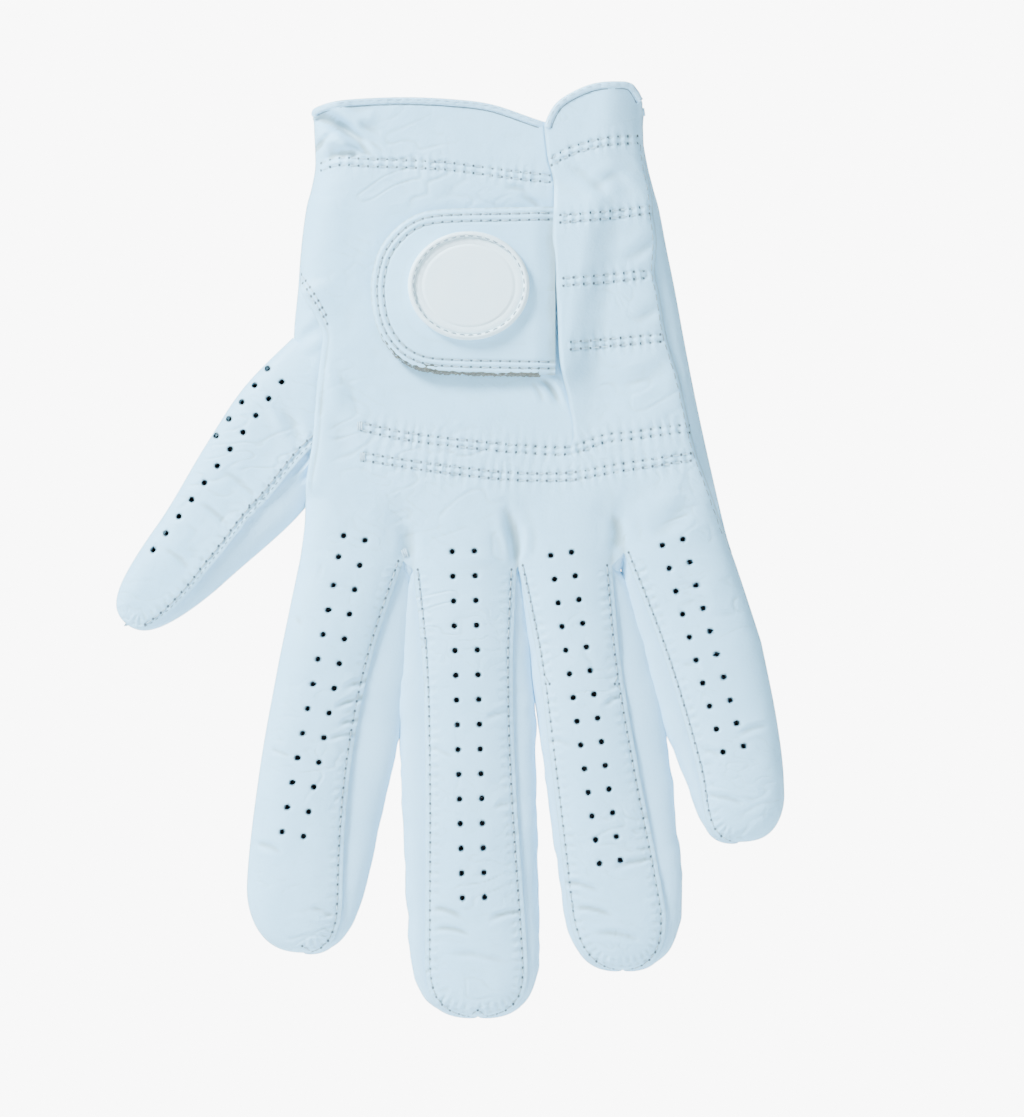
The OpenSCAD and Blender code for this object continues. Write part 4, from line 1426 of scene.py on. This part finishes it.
# ---- Closure tab ----
TAB_OUTLINE = [
    (17.6, -23.2), (3.1, -23.5), (-9.5, -23.9), (-15.6, -25.4), (-20.6, -29.2), (-24.0, -34.3),
    (-25.5, -41.5), (-24.9, -48.5), (-22.9, -54.0), (-19.2, -58.5), (-14.6, -61.0), (-9.5, -61.9),
    (-0.5, -62.3), (17.6, -62.6),
]
TAB_CENTRE = (-8.0, -43.0)
# How far inside the outline its two rows of stitches lie.
TAB_ROWS = (1.5, 3.1)


def tab_ring(inset):
    """The tab's outline moved inwards; its open end stays at the flap."""
    arc = resample(curve(TAB_OUTLINE[1:-1], 10), 1.0)
    line = np.vstack([[TAB_OUTLINE[0]], arc, [TAB_OUTLINE[-1]]])
    line = resample(line, 0.8)
    inward = np.stack([np.maximum(line[:, 0], TAB_CENTRE[0]), np.full(len(line), TAB_CENTRE[1])], 1) - line
    inward /= np.linalg.norm(inward, axis=1)[:, None]
    return line + inward * inset


def tab_front(x, z, edge):
    """Height of the tab's face above the hand's middle plane; edge is the distance to its outline."""
    crown_h = 0.9 * smooth(edge / 12)
    h = 10.0 + crown_h
    h += lumps(x, z, ((0.28, 12, 71), (0.10, 4, 72)))
    for at in TAB_ROWS:
        h -= 0.26 * bell(edge - at, 0.35)
    h += 0.12 * bell(edge - 2.3, 0.4)
    h -= 0.5 * bell(edge, 0.5)
    # It runs in under the flap.
    h -= 1.3 * smooth((x - 12.5) / 6)
    return h


def build_tab():
    """Rings of the outline, each further in, down to a line along the tab's middle."""
    insets = np.r_[0, 0.25, 0.5, np.arange(0.8, 7.0, 0.3), np.arange(7.0, 16.5, 0.55)]
    rings = [tab_ring(v) for v in insets]
    last = rings[-1].copy()
    last[:, 0] = np.maximum(last[:, 0], TAB_CENTRE[0])
    last[:, 1] = TAB_CENTRE[1]
    rings.append(last)
    x = np.array([r[:, 0] for r in rings])
    z = np.array([r[:, 1] for r in rings])
    edge = np.broadcast_to(np.r_[insets, 18.5][:, None], x.shape)
    # The needle holes draw the leather in.
    run = np.broadcast_to(0.8 * np.arange(x.shape[1])[None], x.shape)
    wave = np.cos(2 * np.pi * run / STITCH_PITCH)
    h = tab_front(x, z, edge)
    h -= 0.10 * wave * bell(edge - 0.9, 1.0)
    tab = grid_object("tab_leather_face", x, -h, z)
    mark_painted_shade(tab, h)
    return tab


BADGE_AT = (-2.6, -41.8)
BADGE_RX, BADGE_RZ = 14.2, 12.7
BADGE_BASE = 11.0


def oval_surface(name, profile):
    """A surface of oval rings: profile lists [share of the radius, height above the badge's base]."""
    angle = np.linspace(0, 2 * np.pi, 121)
    shares = np.array([p[0] for p in profile])
    heights = np.array([p[1] for p in profile])
    a, k = np.meshgrid(angle, shares)
    h = np.broadcast_to(heights[:, None], a.shape)
    x = BADGE_AT[0] + BADGE_RX * k * np.cos(a)
    z = BADGE_AT[1] + BADGE_RZ * k * np.sin(a)
    return grid_object(name, x, -(BADGE_BASE + h), z)


def build_badge():
    """The badge's raised ring and its disc, turned from their profiles."""
    t = np.linspace(0, np.pi, 13)
    ring_profile = [(0.945 + 0.055 * math.cos(v), 0.25 + 1.25 * math.sin(v)) for v in t]
    ring_profile = [(ring_profile[0][0], -0.8)] + ring_profile + [(ring_profile[-1][0], 0.0)]
    ring = oval_surface("badge_ring", ring_profile)
    disc_profile = [(0.905, 0.0), (0.885, 0.55), (0.86, 0.72), (0.8, 0.78), (0.78, 0.70), (0.76, 0.66)]
    disc_profile += [(v, 0.72 + 0.35 * (1 - v * v)) for v in np.linspace(0.74, 0.001, 22)]
    disc = oval_surface("badge_face", disc_profile)
    return ring, disc


# ---- Felt pads ----
def pad(name, outline, material, nodes, body, y_front, y_back, seed, fuzz):
    """A felt pad of the given outline with a fuzzy edge."""
    closed = resample(np.vstack([outline, outline[:1]]), 0.5)[:-1]
    middle = closed.mean(0)
    ring = closed - middle
    outward = ring / np.linalg.norm(ring, axis=1)[:, None]
    levels = [(0.02, y_back), (1.0, y_back), (1.0, (y_front + y_back) / 2), (0.985, y_front)]
    levels += [(k, y_front) for k in np.linspace(0.95, 0.02, 24)]
    rng = np.random.default_rng(seed)
    rows = []
    for share, y in levels:
        rough = (fuzz if share > 0.9 else 0.0) * rng.uniform(-1, 1, len(ring))
        flat = middle + ring * share + outward * rough[:, None]
        nap = lumps(flat[:, 0], flat[:, 1], ((0.10, 0.9, seed), (0.08, 4, seed)))
        rows.append(np.stack([flat[:, 0], y + nap, flat[:, 1]], 1))
    grid = np.array(rows)
    grid = np.concatenate([grid, grid[:, :1]], 1)
    obj = grid_object(name, grid[..., 0], grid[..., 1], grid[..., 2])
    return finish_piece(obj, material, nodes, body)


def felt_outline(inset, drop, x_end):
    """The tab's outline, a little smaller and lower, cut off before the fold."""
    ring = tab_ring(inset)
    return np.stack([np.minimum(ring[:, 0], x_end), ring[:, 1] - drop], 1)


# ---- Bindings ----
def evened(values, reach=3):
    """Running mean of a row of numbers."""
    kernel = np.ones(2 * reach + 1) / (2 * reach + 1)
    return np.convolve(np.pad(values, reach, mode="edge"), kernel, mode="valid")


def binding_on(name, probe, edge, side, nodes, body=None, zone=None, width=1.7):
    """The rounded strip folded over an edge, drawn in a little at each of its stitches, with a thin dark
    strip along its edge as painted shadow.
    """
    path = resample(curve(edge), 0.5)
    run = directions(path)
    inward = np.stack([run[:, 1], -run[:, 0]], 1)
    spots = [probe.at(*p) for p in path + inward * 1.5]
    y = evened(np.array([spot[1] for spot, _ in spots])) + 0.45 * side
    middle = path + inward * width / 2
    lean = evened(np.array([normal[0] for _, normal in spots]))
    n = np.stack([0.6 * lean, np.full(len(path), -float(side)), np.zeros(len(path))], 1)
    n /= np.linalg.norm(n, axis=1)[:, None]
    at = 0.5 * np.arange(len(path))
    ripple = 0.10 * np.sin(2 * np.pi * at / STITCH_PITCH) + 0.12 * soft_noise(at, at * 0, 7, 3)
    line = np.stack([middle[:, 0], y, middle[:, 1]], 1) + n * ripple[:, None]
    obj = sweep(name, line, n, width / 2, 0.95)
    threads = Stitches()
    lip = Probe([obj], side)
    threads.run(path + inward * 0.55, lip, size=0.7, holes=False, thin=0.7)
    threads.make(name + "_stitches", [], body, zone)
    # A thin dark strip on the leather along the binding's edge: painted shadow under the binding.
    below = np.stack([p[0] for p in (probe.at(*q) for q in path + inward * (width + 0.1))])
    below[:, 1] = evened(below[:, 1]) + 0.08 * side
    line = sweep(name + "_painted_shadow_strip", below, n, 0.16, 0.16, 6)
    line.data.attributes["dark"].data.foreach_set("value", np.full(len(line.data.vertices), 0.75))
    finish_piece(line, THREAD, [], body, zone)
    return finish_piece(obj, BINDING, nodes, body, zone)


# ---- Elastic tapes sewn inside, under the gathered rows ----
def inner_tape(name, row, height, nodes, body=None, zone=None, width=5.0, x_from=-99, x_to=99):
    """A tape behind a double row, just inside the leather whose height is given."""
    path = resample(curve(row) - np.array([0, ROW_PAIR / 2]), 0.8)
    path = path[(path[:, 0] > x_from) & (path[:, 0] < x_to)]
    t = np.linspace(-0.5, 0.5, 8)
    x = np.broadcast_to(path[:, 0][:, None], (len(path), 8)).copy()
    z = path[:, 1][:, None] + width * t[None]
    y = -(height(x, z) - LEATHER_T - 0.25)
    obj = grid_object(name, x, y, z)
    return finish_piece(obj, ELASTIC, nodes, body, zone, solid=TAPE_T, offset=0.0)


def build_tapes():
    inner_tape("wrist_tape", CUFF_ROW, main_height, ["wrist_elastic"], HAND, x_from=-33, x_to=15)
    for i, row in enumerate(KNUCKLE_ROWS, 1):
        inner_tape(f"knuckle_tape_{i}", row, main_height, ["knuckle_elastics"], HAND, width=4.0, x_to=19)
    where = {"zone": flap_zone(), "width": 4.0, "x_from": 19, "x_to": 35}
    for i, row in enumerate(FLAP_ROWS[1:], 1):
        inner_tape(f"flap_tape_{i}", row, flap_height, ["flap_elastics"], **where)


# ---- Sewing, badge and felt ----
DOUBLE_ROW = {"thin": 0.5}
BADGE_GROOVE = 0.915
TAB_ZONE = ("vent_flap", "closure_tab", (17.5, -9.8, -43), (11.5, -9.8, -43))


def sew_hand(main_probe, flap_probe):
    threads = Stitches()
    for path in row_paths(CUFF_ROW):
        threads.run(path, main_probe, size=0.9, **DOUBLE_ROW)
    for row in KNUCKLE_ROWS:
        for path in row_paths(row):
            threads.run(path, main_probe, keep=lambda p: p[0] < SPLIT_X - 0.2, **DOUBLE_ROW)
            threads.run(path, flap_probe, keep=lambda p: p[0] > SPLIT_X + 0.9, **DOUBLE_ROW)
        threads.knot(main_probe, row[0][0] - 0.3, row[0][1] - ROW_PAIR / 2, math.pi / 2)
    gusset = curve(GUSSET_ROW)
    threads.run(gusset, main_probe, pitch=1.9)
    threads.run(gusset + np.array([0.3, -2.1]), main_probe, pitch=1.9)
    threads.knot(main_probe, -17.6, -104.2, 1.9)
    threads.make("hand_stitches", ["hand_stitching"], HAND)


def sew_flap(flap_probe):
    threads = Stitches()
    for row in FLAP_ROWS:
        for path in row_paths(row):
            threads.run(path, flap_probe, **DOUBLE_ROW)
    # A row of darkened threads without needle holes along the pinky seam: painted shade of the seam's line.
    z = np.linspace(-8, -100, 180)
    seam = np.stack([pinky_seam(z) - 0.9 + 0.12 * np.sin(z * 1.3), z], 1)
    threads.run(seam, flap_probe, pitch=2.4, holes=False, shade=0.6, thin=0.7)
    threads.make("flap_stitches", ["flap_stitching"], zone=flap_zone())


def sew_tab(tab_probe):
    threads = Stitches()
    for inset in TAB_ROWS:
        ring = tab_ring(inset)
        # The tab's stitches are painted darker: painted shade where they sink in.
        threads.run(ring[ring[:, 0] < 16.0], tab_probe, shade=0.35)
    threads.make("tab_stitches", ["tab_stitching"], zone=TAB_ZONE)


def place_badge():
    ring, disc = build_badge()
    turn = np.linspace(0, 2 * np.pi, 200)
    radii = BADGE_GROOVE * np.array([BADGE_RX, BADGE_RZ])
    groove = BADGE_AT + radii * np.stack([np.cos(turn), np.sin(turn)], 1)
    threads = Stitches()
    # The groove's stitches are painted darker: painted shade in the groove.
    threads.run(groove, Probe([ring, disc]), pitch=2.0, size=0.75, holes=False, shade=0.65)
    threads.make("badge_stitches", [], "closure_tab")
    finish_piece(ring, RUBBER, ["badge_rim"], "closure_tab")
    finish_piece(disc, RUBBER, ["badge_disc"], "closure_tab")


def sew_digit(name, part, back, zone):
    """Threads along the seams of one part of a digit."""
    threads = Stitches()
    u, end = digit_rows(name, 0.5)
    keep = (u <= SPLIT_AT[name]) if part == "root" else (u >= SPLIT_AT[name])
    probe = Probe([back])
    if name == "thumb":
        station = along(DIGITS[name], u)
        width = station[:, 2] * end
        path = station[:, :2] + across(name) * ((thumb_seam_s(u) - 0.12) * width)[:, None]
        # The seam's stitches are painted darker: painted shade where they sink in.
        threads.run(path[keep & (u < 3.8)], probe, shade=0.35)
        # A finer, darker line of threads along the upper leather's cut edge: painted shade at the edge.
        path = station[:, :2] + across(name) * ((thumb_seam_s(u) - 0.035) * width)[:, None]
        threads.run(path[keep & (u < 3.85)], probe, pitch=1.5, holes=False, shade=0.7, thin=0.55)
    for side in (LEFT, RIGHT):
        if not folded(name, side):
            # The seam's stitches are painted darker: painted shade where they sink in.
            threads.run(seam_path(name, side, u, end, 1.15)[keep], probe, shade=0.35)
    threads.make(f"{name}_{part}_stitches", [], zone=zone)


def finish_digit(name, pieces):
    gusset_word = "fourchette" if name in ("index", "little") else "fourchettes"
    for part in ("root", "tip"):
        back, palm, sides, zone = pieces[part]
        sew_digit(name, part, back, zone)
        finish_piece(back, LEATHER, [f"{name}_{part}_back"], zone=zone, solid=LEATHER_T)
        finish_piece(palm, LEATHER, [f"{name}_{part}_palm"], zone=zone, solid=LEATHER_T)
        for obj in sides:
            replaced = [] if name == "thumb" else [f"{name}_{part}_{gusset_word}"]
            finish_piece(obj, GUSSET, replaced, zone=zone, solid=LEATHER_T)
    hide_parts(f"{name}_fold")


# ---- Put it together ----
def assemble():
    main, flap = build_back()
    palm, wrap, cheek, quirk = palm_sheet(), pinky_wrap(), thumb_cheek(), thumb_quirk()
    tab = build_tab()
    digits = {name: build_digit(name) for name in DIGIT_NAMES}
    crotches = build_crotches()
    main_probe, flap_probe = Probe([main]), Probe([flap])
    palm_probe = Probe([palm], -1)
    tab_probe = Probe([tab])

    sew_hand(main_probe, flap_probe)
    sew_flap(flap_probe)
    sew_tab(tab_probe)
    place_badge()
    binding_on("cuff_back_binding", main_probe, CUFF_MAIN, 1, ["cuff_binding_back"], HAND)
    binding_on("flap_top_binding", flap_probe, CUFF_FLAP, 1, ["flap_binding"], zone=flap_zone())
    binding_on("cuff_palm_binding", palm_probe, CUFF_PALM, -1, ["cuff_binding_palm"], HAND)
    pad("loop_pad", felt_outline(inset=1.7, drop=0.3, x_end=12.5), LOOP, ["loop_patch"], HAND,
        y_front=-8.05, y_back=-6.6, seed=5, fuzz=0.35)
    # The hook felt's own dark colour is set lower than the tab, so that it shows along the tab's lower edge
    # as a painted shadow line.
    pad("hook_pad", felt_outline(inset=0.6, drop=0.95, x_end=14.0), FELT, ["hook_patch"], "closure_tab",
        y_front=-9.5, y_back=-8.1, seed=6, fuzz=0.3)

    # The leather gets its thickness last, once everything that lies on it is placed.
    hand_pieces = (
        (main, LEATHER, ["back_panel"]), (palm, LEATHER, ["palm_panel", "finger_root_folds"]),
        (wrap, LEATHER, ["pinky_side"]), (cheek, LEATHER, ["index_side"]), (quirk, GUSSET, ["thumb_quirk"]),
    )
    for obj, material, nodes in hand_pieces + tuple((obj, GUSSET, [node]) for obj, node in crotches):
        finish_piece(obj, material, nodes, HAND, solid=LEATHER_T)
    finish_piece(flap, LEATHER, ["vent_flap"], zone=flap_zone(), solid=LEATHER_T)
    finish_piece(tab, LEATHER, ["tab_leather", "tab_root"], zone=TAB_ZONE, solid=TAB_T)
    for name in DIGIT_NAMES:
        finish_digit(name, digits[name])
    build_tapes()


assemble()


# ---- Stage, light and camera ----
COOL = (0.75, 0.92, 1.0)
# The camera sees the floor and the sky as plain bright surfaces; everything else sees them as they are.
SEEN_BRIGHTNESS = 9.0
SKY_BRIGHTNESS = 0.46
FLOOR_Z = -0.245


def seen_brighter(tree, lit, seen_kind, output):
    """Shows the lit surface to all rays but the camera's, which meet a plain bright one."""
    seen = tree.nodes.new(seen_kind)
    seen.inputs["Strength"].default_value = SEEN_BRIGHTNESS
    path = tree.nodes.new("ShaderNodeLightPath")
    mixer = tree.nodes.new("ShaderNodeMixShader")
    tree.links.new(path.outputs["Is Camera Ray"], mixer.inputs["Fac"])
    tree.links.new(lit.outputs[0], mixer.inputs[1])
    tree.links.new(seen.outputs[0], mixer.inputs[2])
    tree.links.new(mixer.outputs["Shader"], output.inputs["Surface"])


def make_stage():
    """A pale floor that curves up into a backdrop far behind the glove."""
    half = 3.0
    back = 1.2
    radius = 0.8
    profile = [(-half, 0.0), (back, 0.0)]
    for a in np.linspace(0, np.pi / 2, 16):
        profile.append((back + radius * np.sin(a), radius - radius * np.cos(a)))
    profile.append((back + radius, half))
    points = [(x, y, z + FLOOR_Z) for y, z in profile for x in (-half, half)]
    faces = [(2 * i, 2 * i + 1, 2 * i + 3, 2 * i + 2) for i in range(len(profile) - 1)]
    mesh = bpy.data.meshes.new("studio_floor")
    mesh.from_pydata(points, [], faces)
    mesh.polygons.foreach_set("use_smooth", [True] * len(mesh.polygons))
    floor = bpy.data.objects.new("studio_floor", mesh)
    bpy.context.scene.collection.objects.link(floor)
    shader = Shader("pale_floor", "leather")
    colour = shader.ramp(shader.noise(0.002, 3, 0.5), 0.3, (0.93, 0.93, 0.93), 0.7, (0.96, 0.96, 0.96))
    mesh.materials.append(shader.surface({"Base Color": colour, "Roughness": 0.9}))
    seen_brighter(shader.mat.node_tree, shader.bsdf, "ShaderNodeEmission", shader.out)


def area_light(name, at, target, size, power):
    data = bpy.data.lights.new(name, "AREA")
    data.color = COOL
    data.shape = "DISK"
    data.size = size
    data.energy = power
    obj = bpy.data.objects.new(name, data)
    obj.location = at
    obj.rotation_euler = (Vector(target) - Vector(at)).to_track_quat("-Z", "Y").to_euler()
    bpy.context.scene.collection.objects.link(obj)


CAMERA_X, CAMERA_Z = 0.0075, -0.1054
CAMERA_AWAY = 1.4
FRAME_HEIGHT = 0.2625
SENSOR_HEIGHT = 24


def make_camera():
    data = bpy.data.cameras.new("camera")
    data.sensor_fit = "VERTICAL"
    data.sensor_height = SENSOR_HEIGHT
    data.lens = SENSOR_HEIGHT * CAMERA_AWAY / FRAME_HEIGHT
    obj = bpy.data.objects.new("camera", data)
    obj.location = (CAMERA_X, -CAMERA_AWAY, CAMERA_Z)
    obj.rotation_euler = (math.pi / 2, 0, 0)
    bpy.context.scene.collection.objects.link(obj)
    bpy.context.scene.camera = obj


def make_light():
    world = bpy.data.worlds.new("studio")
    world.use_nodes = True
    sky = world.node_tree.nodes["Background"]
    sky.inputs["Color"].default_value = (*COOL, 1)
    sky.inputs["Strength"].default_value = SKY_BRIGHTNESS
    seen_brighter(world.node_tree, sky, "ShaderNodeBackground", world.node_tree.nodes["World Output"])
    bpy.context.scene.world = world
    glove_middle = (0, 0, -0.1)
    area_light("key", (-0.75, -0.55, 0.75), glove_middle, size=0.35, power=70)
    area_light("fill", (0.9, -1.1, 0.0), glove_middle, size=0.9, power=7)
    area_light("rim", (0.3, 0.9, 0.7), glove_middle, size=0.8, power=12)


make_stage()
make_camera()
make_light()
